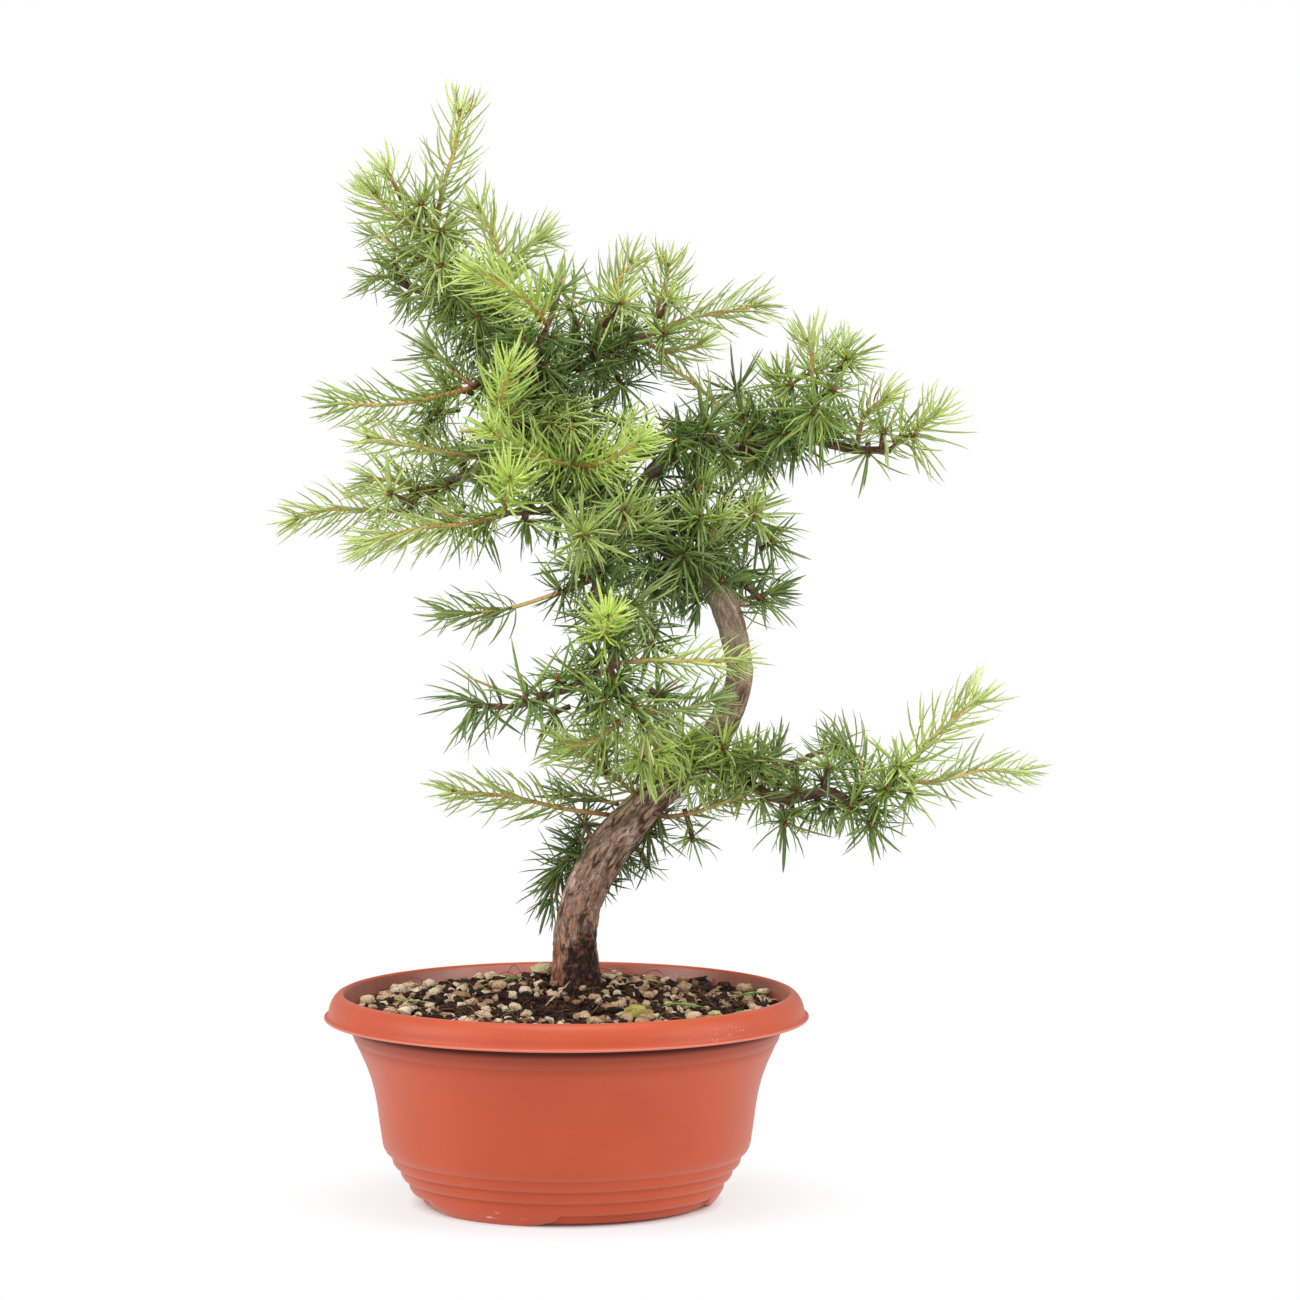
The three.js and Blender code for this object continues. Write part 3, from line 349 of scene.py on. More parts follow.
# A painted highlight: a pale line along the thin outer edge of the lip.
flat = add_node(tree, "VectorMath", {0: where, 1: (1, 1, 0)}, operation="MULTIPLY")
lip_edge_highlight = spread(tree, length_of(tree, flat.outputs["Vector"]), *LIP_EDGE, 0.0, 0.40)
body = laid_over(tree, lip_edge_highlight, body, (0.82, 0.36, 0.26))
streaks = spread(tree, mottle(tree, where, 520.0, 3.0, 0.6, (0.35, 0.35, 1.3)), 0.60, 0.66)
worn = near(tree, where, (-25, -63, 1), (17, 8, 7))
body = laid_over(tree, product(tree, streaks, worn), body, SCUFFED)
flecks = spread(tree, mottle(tree, where, 900.0, 2.0, 0.5), 0.67, 0.70)
rubbed = near(tree, where, (70, -86, 90), (18, 18, 5))
body = laid_over(tree, product(tree, flecks, rubbed), body, (0.80, 0.55, 0.47))
tree.links.new(body, surface["Base Color"])
# The plastic is rougher in patches, and where the shade under the lip is painted.
dull = add_node(tree, "Math", {0: spread(tree, cloudy, 0.2, 0.8, 0.40, 0.54),
                               1: spread(tree, painted_lip_shade, 0.0, 1.0, 0.0, 0.5)})
tree.links.new(dull.outputs["Value"], surface["Roughness"])
relief(tree, surface, mottle(tree, where, 1600.0, 2.0), 0.05)

# Inside it is wet and soiled, so browner and shinier.
soiled, tree, surface = shader("soiled plastic", 0.30, 0.6)
where = place_on(tree)
film = mottle(tree, where, 45.0, 6.0, 0.65, (1, 1, 0.35))
inside = ramp(tree, film, (0.32, (0.235, 0.070, 0.045)), (0.52, (0.360, 0.095, 0.052)),
              (0.74, (0.440, 0.150, 0.105)))
# A painted highlight: a paler patch high on the back left of the inside wall, where it catches the
# light.
inner_wall_highlight = near(tree, where, (-30, 92, 94), (34, 26, 9))
inside = laid_over(tree, spread(tree, inner_wall_highlight, 0.0, 1.0, 0.0, 0.6), inside, (0.68, 0.30, 0.24))
splashes = specks(tree, where, 0.019, 0.0007, 0.22)
inside = laid_over(tree, splashes, inside, (0.09, 0.045, 0.030))
tree.links.new(inside, surface["Base Color"])
tree.links.new(spread(tree, film, 0.3, 0.7, 0.24, 0.48), surface["Roughness"])
relief(tree, surface, mottle(tree, where, 300.0, 4.0), 0.12)

pot_piece = piece_from(pot_mesh, "growing_pot", plastic, soiled)
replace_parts(pot_piece, "pot")

# ------------------------------------------------------------------ soil
# Dark fibrous peat that fills the pot and mounds to the trunk. The bed is one closed body with
# a crumbly top.
SOIL_RADIUS = 99.6
SOIL_EDGE_HEIGHT = 88.9
MOUND_HEIGHT = 9
MOUND_SPREAD = 42
TRUNK_FOOT = (4, 28)
TRUNK_FOOT_RADIUS = 12.6
BED_SIDES = 180
BED_BOTTOM = (63, 2.4)  # radius, height
BED_RINGS = range(98, 0, -1)  # the radii of its crumbly top
BED_WALL = [(80.7, 26), (83.9, 42), (86.9, 57), (95.0, 77), (SOIL_RADIUS, 87)]


def off_trunk(x, y):
    """The distance from the middle of the trunk's foot."""
    return math.hypot(x - TRUNK_FOOT[0], y - TRUNK_FOOT[1])


def crumbly_level(x, y):
    """The soil's level at a place, in millimetres, with its mound, ripples and clods."""
    place = Vector((x, y, 0))
    mound = MOUND_HEIGHT * math.exp(-((off_trunk(x, y) / MOUND_SPREAD) ** 2))
    ripple = 0.7 * math.sin(x / 9) * math.cos(y / 11)
    clods = (noise.fractal(place / 9, 0.8, 2.1, 3) * 1.1
             + noise.fractal(place / 3.4, 0.9, 2.0, 3) * 0.9)
    edge = max(0.0, min(1.0, (SOIL_RADIUS - math.hypot(x, y)) / 4))
    return SOIL_EDGE_HEIGHT + mound + ripple + clods * edge - 0.6


bed = bmesh.new()
ring = bmesh.ops.create_circle(bed, cap_ends=False, segments=BED_SIDES,
                               radius=BED_BOTTOM[0] * MM)["verts"]
bmesh.ops.translate(bed, verts=ring, vec=(0, 0, BED_BOTTOM[1] * MM))
bmesh.ops.contextual_create(bed, geom=ring)
edges = list(bed.edges)
for radius, height in BED_WALL + [(radius, None) for radius in BED_RINGS]:
    grown = bmesh.ops.extrude_edge_only(bed, edges=edges)["geom"]
    edges = [e for e in grown if isinstance(e, bmesh.types.BMEdge)]
    for corner in {v for e in edges for v in e.verts}:
        bearing = math.atan2(corner.co.y, corner.co.x)
        x, y = radius * math.cos(bearing), radius * math.sin(bearing)
        corner.co = Vector((x, y, crumbly_level(x, y) if height is None else height)) * MM
bmesh.ops.contextual_create(bed, geom=edges)
bmesh.ops.recalc_face_normals(bed, faces=bed.faces)

peat, tree, surface = shader("peat", 0.85, 0.3)
where = place_on(tree)
earth = ramp(tree, mottle(tree, where, 300.0, 6.0, 0.72),
             (0.38, (0.010, 0.005, 0.004)), (0.54, (0.044, 0.019, 0.012)),
             (0.66, (0.135, 0.056, 0.033)), (0.82, (0.30, 0.150, 0.085)))
tree.links.new(earth, surface["Base Color"])
relief(tree, surface, mottle(tree, where, 900.0, 5.0, 0.7), 0.9, 0.0015)

soil_piece = piece_from(bed, "peat_bed", peat)
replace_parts(soil_piece, "soil")

# ------------------------------------------------------------------ pumice grains and peat crumbs
# A top dressing of rounded cream pumice with a few mossy stones, and loose crumbs of the peat.
# They lie half sunk in the soil, thickest along the rim.
GRAINS = {"count": 520, "low": 2.8, "high": 6.6, "room": 0.54, "seed": 5}
CRUMBS = {"count": 1500, "low": 1.4, "high": 6.5, "room": 0.36, "seed": 11}
MOSSY_STONES = [  # x, y, length, and its shade: over 1.2 it greens
    (32, -44, 8.5, 2.0), (26, -40, 5.0, 1.6), (-12, 45, 9.5, 1.6), (-5, 48, 6, 1.5),
    (68, -36, 5.0, 1.8), (-52, 12, 5.5, 1.5), (-62, 30, 5.0, 1.45)]
GRAIN_REACH = 98
TRIES = 40  # at a place for each grain
ANY_WAY = 6.3  # radians, all the way round


def lump(seed, flat=0.8, rough=0.3, cuts=2):
    """A small stone or crumb one unit across: a cube rounded off and knocked about."""
    bm = bmesh.new()
    bmesh.ops.create_cube(bm, size=1)
    bmesh.ops.subdivide_edges(bm, edges=bm.edges, cuts=cuts, use_grid_fill=True)
    for corner in bm.verts:
        direction = corner.co.normalized()
        bulge = 1 + rough * noise.noise(direction * 1.3 + Vector((seed * 7.1, 0, 0)))
        corner.co = corner.co.lerp(direction * 0.62, 0.72) * bulge
        corner.co.z *= flat
    return mesh_of(bm, "lump")


def add_copy(bm, template, matrix, values):
    """Adds one copy of a small mesh, placed by a matrix, with its values on each vertex."""
    first = len(bm.verts)
    bm.from_mesh(template)
    bm.verts.ensure_lookup_table()
    for i in range(first, len(bm.verts)):
        corner = bm.verts[i]
        corner.co = matrix @ corner.co
        for layer, value in values:
            corner[layer] = value


def lay(bm, template, place, turn, sizes, values=()):
    """Lays a copy of a small mesh at a place, turned, with its three sizes in millimetres."""
    scale = Matrix.Diagonal((*(size * MM for size in sizes), 1))
    add_copy(bm, template, Matrix.Translation(Vector(place) * MM) @ turn @ scale, values)


def tumbled(draw, lean):
    """Any way round, and tipped by up to lean radians."""
    return (Matrix.Rotation(draw.uniform(0, ANY_WAY), 4, "Z")
            @ Matrix.Rotation(draw.uniform(-lean, lean), 4, "X"))


def strewn(chance, count, low, high, room, seed):
    """Places on the soil with sizes from low to high, kept room times their sizes apart."""
    draw = random.Random(seed)
    places, taken = [], {}
    for _ in range(count * TRIES):
        radius = GRAIN_REACH * math.sqrt(draw.random())
        bearing = draw.uniform(0, 2 * math.pi)
        x, y = radius * math.cos(bearing), radius * math.sin(bearing)
        size = low + (high - low) * draw.random() ** 1.7
        if (off_trunk(x, y) <= TRUNK_FOOT_RADIUS + size / 2
                or radius + size / 2 > SOIL_RADIUS + 0.5 or draw.random() > chance(x, y)):
            continue
        cell = (int(x // high), int(y // high))
        around = [p for i in (-1, 0, 1) for j in (-1, 0, 1)
                  for p in taken.get((cell[0] + i, cell[1] + j), ())]
        if all(math.hypot(x - u, y - v) > room * (size + s) for u, v, s in around):
            places.append((x, y, size))
            taken.setdefault(cell, []).append((x, y, size))
            if len(places) == count:
                break
    return places


def pumice_chance(x, y):
    """Pumice lies in drifts along the rim and at the sides, and thinly before the trunk."""
    bare = math.exp(-(((x + 12) / 36) ** 2 + ((y + 30) / 30) ** 2))
    drift = noise.noise(Vector((x / 19, y / 19, 7.3)))
    return max(0.03, 0.42 + 1.3 * drift - 0.55 * bare)


grain_shapes = [lump(seed, 0.86, 0.55) for seed in range(8)]
grains = bmesh.new()
tint = grains.verts.layers.float.new("tint")
draw = random.Random(3)
for x, y, size in strewn(pumice_chance, **GRAINS):
    rise = crumbly_level(x, y) + size * draw.uniform(0.14, 0.44)
    turn = tumbled(draw, 0.7)
    wide, tall = size * draw.uniform(0.66, 0.95), size * draw.uniform(0.66, 0.95)
    lay(grains, draw.choice(grain_shapes), (x, y, rise), turn, (size, wide, tall),
        [(tint, draw.random())])
for x, y, size, shade in MOSSY_STONES:
    lay(grains, grain_shapes[2], (x, y, crumbly_level(x, y) + 0.46 * size), Matrix.Identity(4),
        (size, size * 0.85, size * 0.85), [(tint, shade)])

pumice, tree, surface = shader("pumice", 0.85, 0.3)
where = place_on(tree)
own = add_node(tree, "Attribute", attribute_name="tint").outputs["Fac"]
cream = ramp(tree, own, (0.0, (0.420, 0.240, 0.120)), (0.25, (0.640, 0.420, 0.240)),
             (0.6, (0.830, 0.610, 0.390)), (1.0, (0.960, 0.800, 0.600)))
cream = laid_over(tree, spread(tree, own, 1.2, 2.0), cream, (0.54, 0.54, 0.13))
# Darker brown in random patches: partly soil on the grains, partly painted shade.
brown_patches = spread(tree, mottle(tree, where, 230.0, 4.0, 0.6), 0.52, 0.64, 0.0, 0.70)
cream = laid_over(tree, brown_patches, cream, (0.28, 0.120, 0.052))
pores = spread(tree, mottle(tree, where, 1100.0, 3.0, 0.6), 0.58, 0.66, 0.0, 0.85)
cream = laid_over(tree, pores, cream, (0.13, 0.075, 0.04))
tree.links.new(cream, surface["Base Color"])
relief(tree, surface, mottle(tree, where, 1100.0, 4.0, 0.7), 0.8)
grain_piece = piece_from(grains, "pumice_grains", pumice)

crumb_shapes = [lump(20 + seed, 0.8, 1.1, 1) for seed in range(6)]
crumbs = bmesh.new()
draw = random.Random(9)
for x, y, size in strewn(lambda x, y: 1.0, **CRUMBS):
    turn = tumbled(draw, 1.2)
    sizes = (size, size * draw.uniform(0.3, 0.85), size * 0.6)
    lay(crumbs, draw.choice(crumb_shapes), (x, y, crumbly_level(x, y) + 0.26 * size), turn, sizes)
crumb_piece = piece_from(crumbs, "peat_crumbs", peat)

# ------------------------------------------------------------------ litter
# Root fibres, tan fibres, fallen needles and straws, blown and washed over the soil. Each is a
# thin bent rod that lies on the peat, and a few root fibres stand up from it.
LITTER_COUNT = 560
LITTER_REACH = 92
LITTER_OFF_TRUNK = 15
LITTER_ENDS = 96  # how far out its ends may lie
ROOT_FIBRES = 0.72  # as a share of all the fibres; the rest are tan
HEADING = 6.283  # radians, all the way round
STRAWS = [  # where it lies, its bearing in radians, length, and its skin in the order below
    ((53, -14), 0.12, 22, 2), ((84, 26), 0.35, 18, 2), ((-72, 6), -0.1, 17, 2),
    ((-4, -4), 1.25, 34, 3), ((-66, -30), -0.55, 13, 3), ((-20, -58), 0.3, 17, 1),
    ((40, 36), 0.7, 18, 3), ((-30, 50), 0.2, 20, 2), ((10, 70), -0.3, 17, 3),
    ((70, 44), 1.1, 16, 1), ((80, -34), -0.3, 12, 2)]
LITTER_SKINS = {  # darkest and lightest
    "root fibre": ((0.085, 0.034, 0.017), (0.21, 0.088, 0.042)),
    "tan fibre": ((0.20, 0.095, 0.045), (0.42, 0.24, 0.115)),
    "fallen needle": ((0.12, 0.26, 0.045), (0.28, 0.46, 0.09)),
    "dry straw": ((0.46, 0.28, 0.13), (0.78, 0.60, 0.38)),
}
CURVE_CUTS = 24  # points worked out between two stations of a curve


def smooth_line(stations, step):
    """Even samples (point, radius) of the smooth curve through [x, y, z, radius] stations."""
    points = [Vector(s[:3]) for s in stations]
    points = [2 * points[0] - points[1]] + points + [2 * points[-1] - points[-2]]
    dense = []
    for i in range(len(stations) - 1):
        a, b, c, d = points[i:i + 4]
        ab, bc, cd = (max((q - p).length, 1e-6) ** 0.5 for p, q in ((a, b), (b, c), (c, d)))
        leave = ((b - a) / ab - (c - a) / (ab + bc) + (c - b) / bc) * bc
        arrive = ((c - b) / bc - (d - b) / (bc + cd) + (d - c) / cd) * bc
        for k in range(CURVE_CUTS):
            t = k / CURVE_CUTS
            point = (b * (2 * t ** 3 - 3 * t ** 2 + 1) + leave * (t ** 3 - 2 * t ** 2 + t)
                     + c * (3 * t ** 2 - 2 * t ** 3) + arrive * (t ** 3 - t ** 2))
            dense.append((point, stations[i][3] + (stations[i + 1][3] - stations[i][3]) * t))
    dense.append((points[-2], stations[-1][3]))
    reached = [0.0]
    for (p, _), (q, _) in zip(dense, dense[1:]):
        reached.append(reached[-1] + (q - p).length)
    count = max(2, round(reached[-1] / step))
    line, j = [], 0
    for i in range(count + 1):
        target = reached[-1] * i / count
        while j < len(dense) - 2 and reached[j + 1] < target:
            j += 1
        t = (target - reached[j]) / max(reached[j + 1] - reached[j], 1e-9)
        (start, thick), (end, thin) = dense[j:j + 2]
        line.append((start.lerp(end, t), thick + (thin - thick) * t))
    return line


def frames_along(line):
    """A steady cross frame (side, across, tangent) at each sample of a line."""
    tangents = [(line[min(i + 1, len(line) - 1)][0] - line[max(i - 1, 0)][0]).normalized()
                for i in range(len(line))]
    side = tangents[0].orthogonal().normalized()
    frames = []
    for tangent in tangents:
        side = (side - tangent * side.dot(tangent)).normalized()
        frames.append((side, tangent.cross(side), tangent))
    return frames


def bent_rod(bm, line, sides, material=0, skin=None, offset=0):
    """A closed round rod along a line. skin(turn, reach, radius) is its radius with its bark.

    Its grain is its surface unrolled: round it, and the distance along it.
    """
    rod = bmesh.new()
    grain = rod.verts.layers.float_vector.new("grain")
    last = len(line) - 1
    bmesh.ops.create_cone(rod, cap_ends=True, segments=sides, radius1=1, radius2=1, depth=last)
    cut_along(rod, 2, last - 1)
    frames = frames_along(line)
    step = (line[1][0] - line[0][0]).length
    for corner in rod.verts:
        i = round(corner.co.z + last / 2)
        turn = math.atan2(corner.co.y, corner.co.x)
        centre, radius = line[i]
        side, across, _ = frames[i]
        bulk = skin(turn, i * step, radius) if skin else radius
        corner[grain] = Vector((math.cos(turn) * radius + offset, math.sin(turn) * radius,
                                i * step)) * MM
        corner.co = (centre + (side * math.cos(turn) + across * math.sin(turn)) * bulk) * MM
    for face in rod.faces:
        face.material_index = material
    bm.from_mesh(mesh_of(rod, "rod"))


litter = bmesh.new()
draw = random.Random(21)
for _ in range(LITTER_COUNT):
    radius, bearing = LITTER_REACH * math.sqrt(draw.random()), draw.uniform(0, HEADING)
    x, y = radius * math.cos(bearing), radius * math.sin(bearing)
    if off_trunk(x, y) < LITTER_OFF_TRUNK:
        continue
    heading, reach = draw.uniform(0, HEADING), draw.uniform(4, 18)
    arch = draw.uniform(0, 1.9) ** 1.6
    if draw.random() < 0.10:  # a long one, arched off the soil
        reach, arch = reach + 8, arch + draw.uniform(2, 6)
    stations = []
    for share in (0, 0.25, 0.5, 0.75, 1):
        heading += draw.uniform(-0.5, 0.5)
        lift = arch * math.sin(math.pi * share) + 1.0 + draw.uniform(-0.3, 0.8)
        stations.append((x, y, crumbly_level(x, y) + lift, draw.uniform(0.10, 0.20)))
        x, y = x + reach / 4 * math.cos(heading), y + reach / 4 * math.sin(heading)
        x, y = (v * min(1, LITTER_ENDS / max(1, math.hypot(x, y))) for v in (x, y))
    bent_rod(litter, smooth_line(stations, reach / 7), 4,
             material=0 if draw.random() < ROOT_FIBRES else 1)
for (x, y), heading, reach, kind in STRAWS:
    stations = []
    for share, width in ((0, 0.30), (0.3, 0.62), (0.7, 0.55), (1, 0.14)):
        u = x + reach * (share - 0.5) * math.cos(heading)
        v = y + reach * (share - 0.5) * math.sin(heading)
        stations.append((u, v, crumbly_level(u, v) + 2.3 + 1.2 * math.sin(3 * share), width))
    bent_rod(litter, smooth_line(stations, 2.5), 5, material=kind)

litter_skins = []
for name, (dark, light) in LITTER_SKINS.items():
    skin, tree, surface = shader(name, 0.7, 0.3)
    patchy = mottle(tree, place_on(tree), 240.0, 3.0)
    tree.links.new(ramp(tree, patchy, (0.35, dark), (0.65, light)), surface["Base Color"])
    litter_skins.append(skin)
litter_piece = piece_from(litter, "soil_litter", *litter_skins)

# ------------------------------------------------------------------ wood
# The trunk and its old limbs, grown as one: a tapering S with grey-brown, lengthwise cracked
# bark, red-brown where it has flaked by the soil, and limbs that swell into the trunk.
TRUNK = [  # x, y, z and radius
    (5, 29, 60, 7.5), (4, 28, 80, 10.5), (4, 28, 95, 11.6), (4, 27, 106, 10.6), (4, 27, 122, 10.2),
    (8, 26, 139, 10), (20, 22, 161, 9.5), (35, 18, 180, 8.5), (51, 16, 194, 7.6),
    (66, 13, 210, 6.9), (76, 10, 228, 6.5), (80, 8, 242, 6.5), (78, 6, 257, 6.3),
    (72, 4, 276, 6.1), (63, 2, 292, 5.8), (49, 0, 301, 5.6), (34, -2, 311, 5.4), (18, -3, 324, 5),
    (4, -2, 340, 4.6), (-6, 0, 356, 4.3), (-15, 3, 369, 4.1), (-23, 6, 385, 3.7),
    (-32, 8, 398, 3.3), (-41, 9, 407, 2.9), (-50, 9, 416, 2.4), (-56, 8, 429, 2.1),
    (-60, 6, 448, 1.7)]
LIMBS = {  # the same, from where each leaves the wood
    "lower_right": [
        (65, 13, 205, 3.4), (75, 6, 199, 3), (84, -2, 193, 2.8), (99, -12, 187, 2.5),
        (120, -20, 191, 2.3), (131, -24, 187, 2.1), (147, -29, 191, 1.8), (153, -29, 197, 1.5)],
    "lower_right_spur": [
        (82, 0, 195, 1.7), (93, 12, 198, 1.5), (104, 22, 200, 1.4), (112, 28, 202, 1.2)],
    "right_upper": [
        (27, -2, 319, 3.4), (34, 4, 329, 3.2), (41, 9, 338, 3.1), (52, 13, 348, 2.9),
        (62, 16, 350, 2.7), (78, 20, 345, 2.6), (88, 22, 348, 2.5), (100, 22, 354, 2.4),
        (120, 20, 349, 2.2), (133, 18, 346, 2.1), (149, 14, 346, 1.7)],
    "right_upper_twig": [
        (120, 20, 349, 1.6), (116, 10, 360, 1.4), (115, 2, 367, 1.3), (114, -2, 375, 1.1)],
    "right_upper_back": [(88, 22, 348, 1.6), (84, 32, 355, 1.4), (82, 38, 360, 1.2)],
    "right_middle": [(61, 2, 295, 2), (67, 12, 309, 1.6), (71, 18, 320, 1.3)],
    "high_right": [
        (-13, 3, 369, 2.4), (-7, 12, 381, 2.2), (0, 18, 384, 2.1), (10, 26, 387, 2),
        (18, 32, 390, 1.9), (35, 46, 398, 1.6), (43, 52, 400, 1.4)],
    "high_front": [
        (-15, 3, 371, 1.8), (-14, -8, 384, 1.5), (-12, -15, 395, 1.4), (-8, -22, 403, 1.2)],
    "high_left": [
        (-42, 9, 408, 2.2), (-54, 18, 414, 1.9), (-75, 30, 422, 1.6), (-81, 33, 425, 1.3)],
    "left_main": [
        (-3, -1, 349, 2.8), (-21, 8, 344, 2.5), (-45, 18, 335, 2.1), (-56, 23, 330, 1.9),
        (-68, 28, 325, 1.7), (-74, 30, 318, 1.4)],
    "left_middle": [(-22, 6, 384, 1.9), (-34, -4, 379, 1.6), (-43, -14, 376, 1.3)],
    "left_front": [(-6, 0, 356, 2), (-25, -14, 349, 1.7), (-39, -24, 345, 1.3)],
    "centre_front": [(-10, 2, 362, 1.7), (-21, -16, 358, 1.5), (-30, -30, 361, 1.2)],
    "brush_front": [(16, -3, 325, 2), (-2, -18, 321, 1.7), (-27, -34, 319, 1.3)],
    "centre_back": [(-6, 0, 355, 1.8), (4, 14, 360, 1.6), (15, 22, 362, 1.4), (21, 20, 360, 1.2)],
    "hanging": [
        (34, -2, 310, 2.5), (21, -28, 302, 2.2), (14, -44, 292, 2), (17, -54, 277, 1.8),
        (21, -60, 261, 1.6), (22, -62, 241, 1.4), (29, -60, 233, 1.2)],
    "hanging_twig": [(22, -61, 252, 1.4), (15, -66, 248, 1.3), (9, -70, 246, 1.1)],
    "low_front": [(38, 18, 181, 1.8), (42, 10, 178, 1.6), (47, 5, 177, 1.2)],
    "low_back": [(25, 20, 166, 1.9), (30, 34, 160, 1.6), (34, 42, 157, 1.2)],
}
TRUNK_SIDES = 68
LIMB_SIDES = 14
WOOD_STEP = 0.9  # millimetres between the rings of the trunk and limbs
TIP = ((0.35, 0.93), (0.62, 0.78), (0.82, 0.55), (0.93, 0.25))  # onward, width: shares of radius
COLLAR = 0.45  # how much a limb swells where it leaves the wood, as a share of its radius
COLLAR_RINGS = 3.5  # how fast that fades
CRACK_BROWN = (0.090, 0.050, 0.036)
FURROW_BROWN = (0.110, 0.078, 0.058)
FLAKE_PINK = (0.72, 0.470, 0.320)
BLACK_WET = (0.018, 0.008, 0.006)


def cracked(turn, reach, radius):
    """Bark: long lens-shaped plates between cracks, over slow swellings, deepest where thick."""
    place = Vector((math.cos(turn) * radius, math.sin(turn) * radius, reach * 0.36))
    nearest = noise.voronoi(place / 2.5)[0]
    plate = min(1.0, (nearest[1] - nearest[0]) / 0.30)
    swell = 0.05 * math.sin(2 * turn + 0.09 * reach) + 0.03 * math.sin(3 * turn - 0.12 * reach + 1)
    knob = 0.05 * noise.noise(Vector((math.cos(turn) * 1.5, math.sin(turn) * 1.5, reach / 14)))
    small = noise.fractal(place / 1.1, 0.9, 2.0, 2) * 0.13
    return radius * (1 + swell + knob) + min(radius, 10) * 0.060 * (plate - 0.7) + small


def tapered(stations):
    """A line of wood with its tip drawn in, so that it ends blunt and round."""
    line = smooth_line(stations, WOOD_STEP)
    last, before = line[-1], line[-2]
    onward = (last[0] - before[0]).normalized()
    return line + [(last[0] + onward * last[1] * share, last[1] * shrink) for share, shrink in TIP]


wood = bmesh.new()
bent_rod(wood, tapered(TRUNK), TRUNK_SIDES, skin=cracked)
for number, stations in enumerate(LIMBS.values()):
    collar = [(point, radius * (1 + COLLAR * math.exp(-i / COLLAR_RINGS)))
              for i, (point, radius) in enumerate(tapered(stations))]
    bent_rod(wood, collar, LIMB_SIDES, material=1, skin=cracked, offset=20 * number + 30)


def streaks_along(tree, along, scale, stretch, low, high, amount):
    """Lengthwise streaks on unrolled bark, from 0 to an amount."""
    streaky = mottle(tree, along, scale, 4.0, 0.62, (1, 1, stretch))
    return spread(tree, streaky, low, high, 0.0, amount)


def thrown_about(tree, vector, base, scale, detail, reach):
    """A coordinate knocked about by noise, so that patterns on it get ragged edges."""
    cloud = add_node(tree, "TexNoise", {"Vector": vector, "Scale": scale, "Detail": detail})
    return add_node(tree, "VectorMath", {0: cloud.outputs["Color"], 1: (reach,) * 3, 2: base},
                    operation="MULTIPLY_ADD").outputs["Vector"]


def moved(tree, vector, by):
    """A coordinate moved by an offset in metres."""
    return add_node(tree, "VectorMath", {0: vector, 1: by}).outputs["Vector"]


bark, tree, surface = shader("larch bark", 0.8, 0.28)
along = add_node(tree, "Attribute", attribute_name="grain").outputs["Vector"]
where = place_on(tree)
up = height_of(tree, where)
low_down = spread(tree, up, 0.162, 0.132)
high_up = spread(tree, up, 0.205, 0.250, 0.0, 0.75)
stretched = add_node(tree, "Mapping", {"Vector": along, "Scale": (1, 1, 0.30)}).outputs["Vector"]
warped = thrown_about(tree, stretched, stretched, 520, 2.0, 0.0022)
plates = add_node(tree, "TexVoronoi", {"Vector": warped, "Scale": 480},
                  feature="DISTANCE_TO_EDGE").outputs["Distance"]

# Grey-brown and pinkish patches, smoother and duller low down, streaked by flakes and furrows.
patches = mottle(tree, along, 95.0, 5.0, 0.62, (1, 1, 0.6))
colour = ramp(tree, patches, (0.38, (0.165, 0.140, 0.098)), (0.46, (0.330, 0.210, 0.145)),
              (0.53, (0.560, 0.340, 0.240)), (0.62, (0.830, 0.620, 0.520)))
smooth_low = spread(tree, low_down, 0.0, 1.0, 0.0, 0.5)
colour = laid_over(tree, smooth_low, colour, (0.52, 0.315, 0.250))
flaky = streaks_along(tree, along, 400.0, 0.22, 0.55, 0.60, 0.7)
colour = laid_over(tree, flaky, colour, FLAKE_PINK)
furrows = streaks_along(tree, along, 460.0, 0.34, 0.44, 0.38, 0.8)
colour = laid_over(tree, furrows, colour, FURROW_BROWN)
colour = laid_over(tree, spread(tree, plates, 0.015, 0.07, 0.55, 0.0), colour, CRACK_BROWN)

# Pale lens-shaped flakes, each over a painted shadow: a dark rim, a little larger than the flake
# and moved a little to one side.
flake_shadow = specks(tree, moved(tree, warped, (0.0003, 0.0003, 0.0005)), 0.0040, 0.0027, 0.60)
colour = laid_over(tree, flake_shadow, colour, (0.100, 0.058, 0.036))
lens_skin = ramp(tree, mottle(tree, along, 260.0, 4.0, 0.6, (1, 1, 0.4)),
                 (0.36, (0.250, 0.150, 0.098)), (0.48, (0.570, 0.365, 0.240)),
                 (0.64, (0.850, 0.640, 0.480)))
colour = laid_over(tree, specks(tree, warped, 0.0040, 0.0020, 0.60), colour, lens_skin)

# Higher up the bark is younger, smooth and pale.
smooth = ramp(tree, mottle(tree, along, 120.0, 5.0, 0.65, (1, 1, 0.35)),
              (0.36, (0.240, 0.155, 0.105)), (0.50, (0.470, 0.350, 0.260)),
              (0.66, (0.740, 0.610, 0.490)))
colour = laid_over(tree, high_up, colour, smooth)

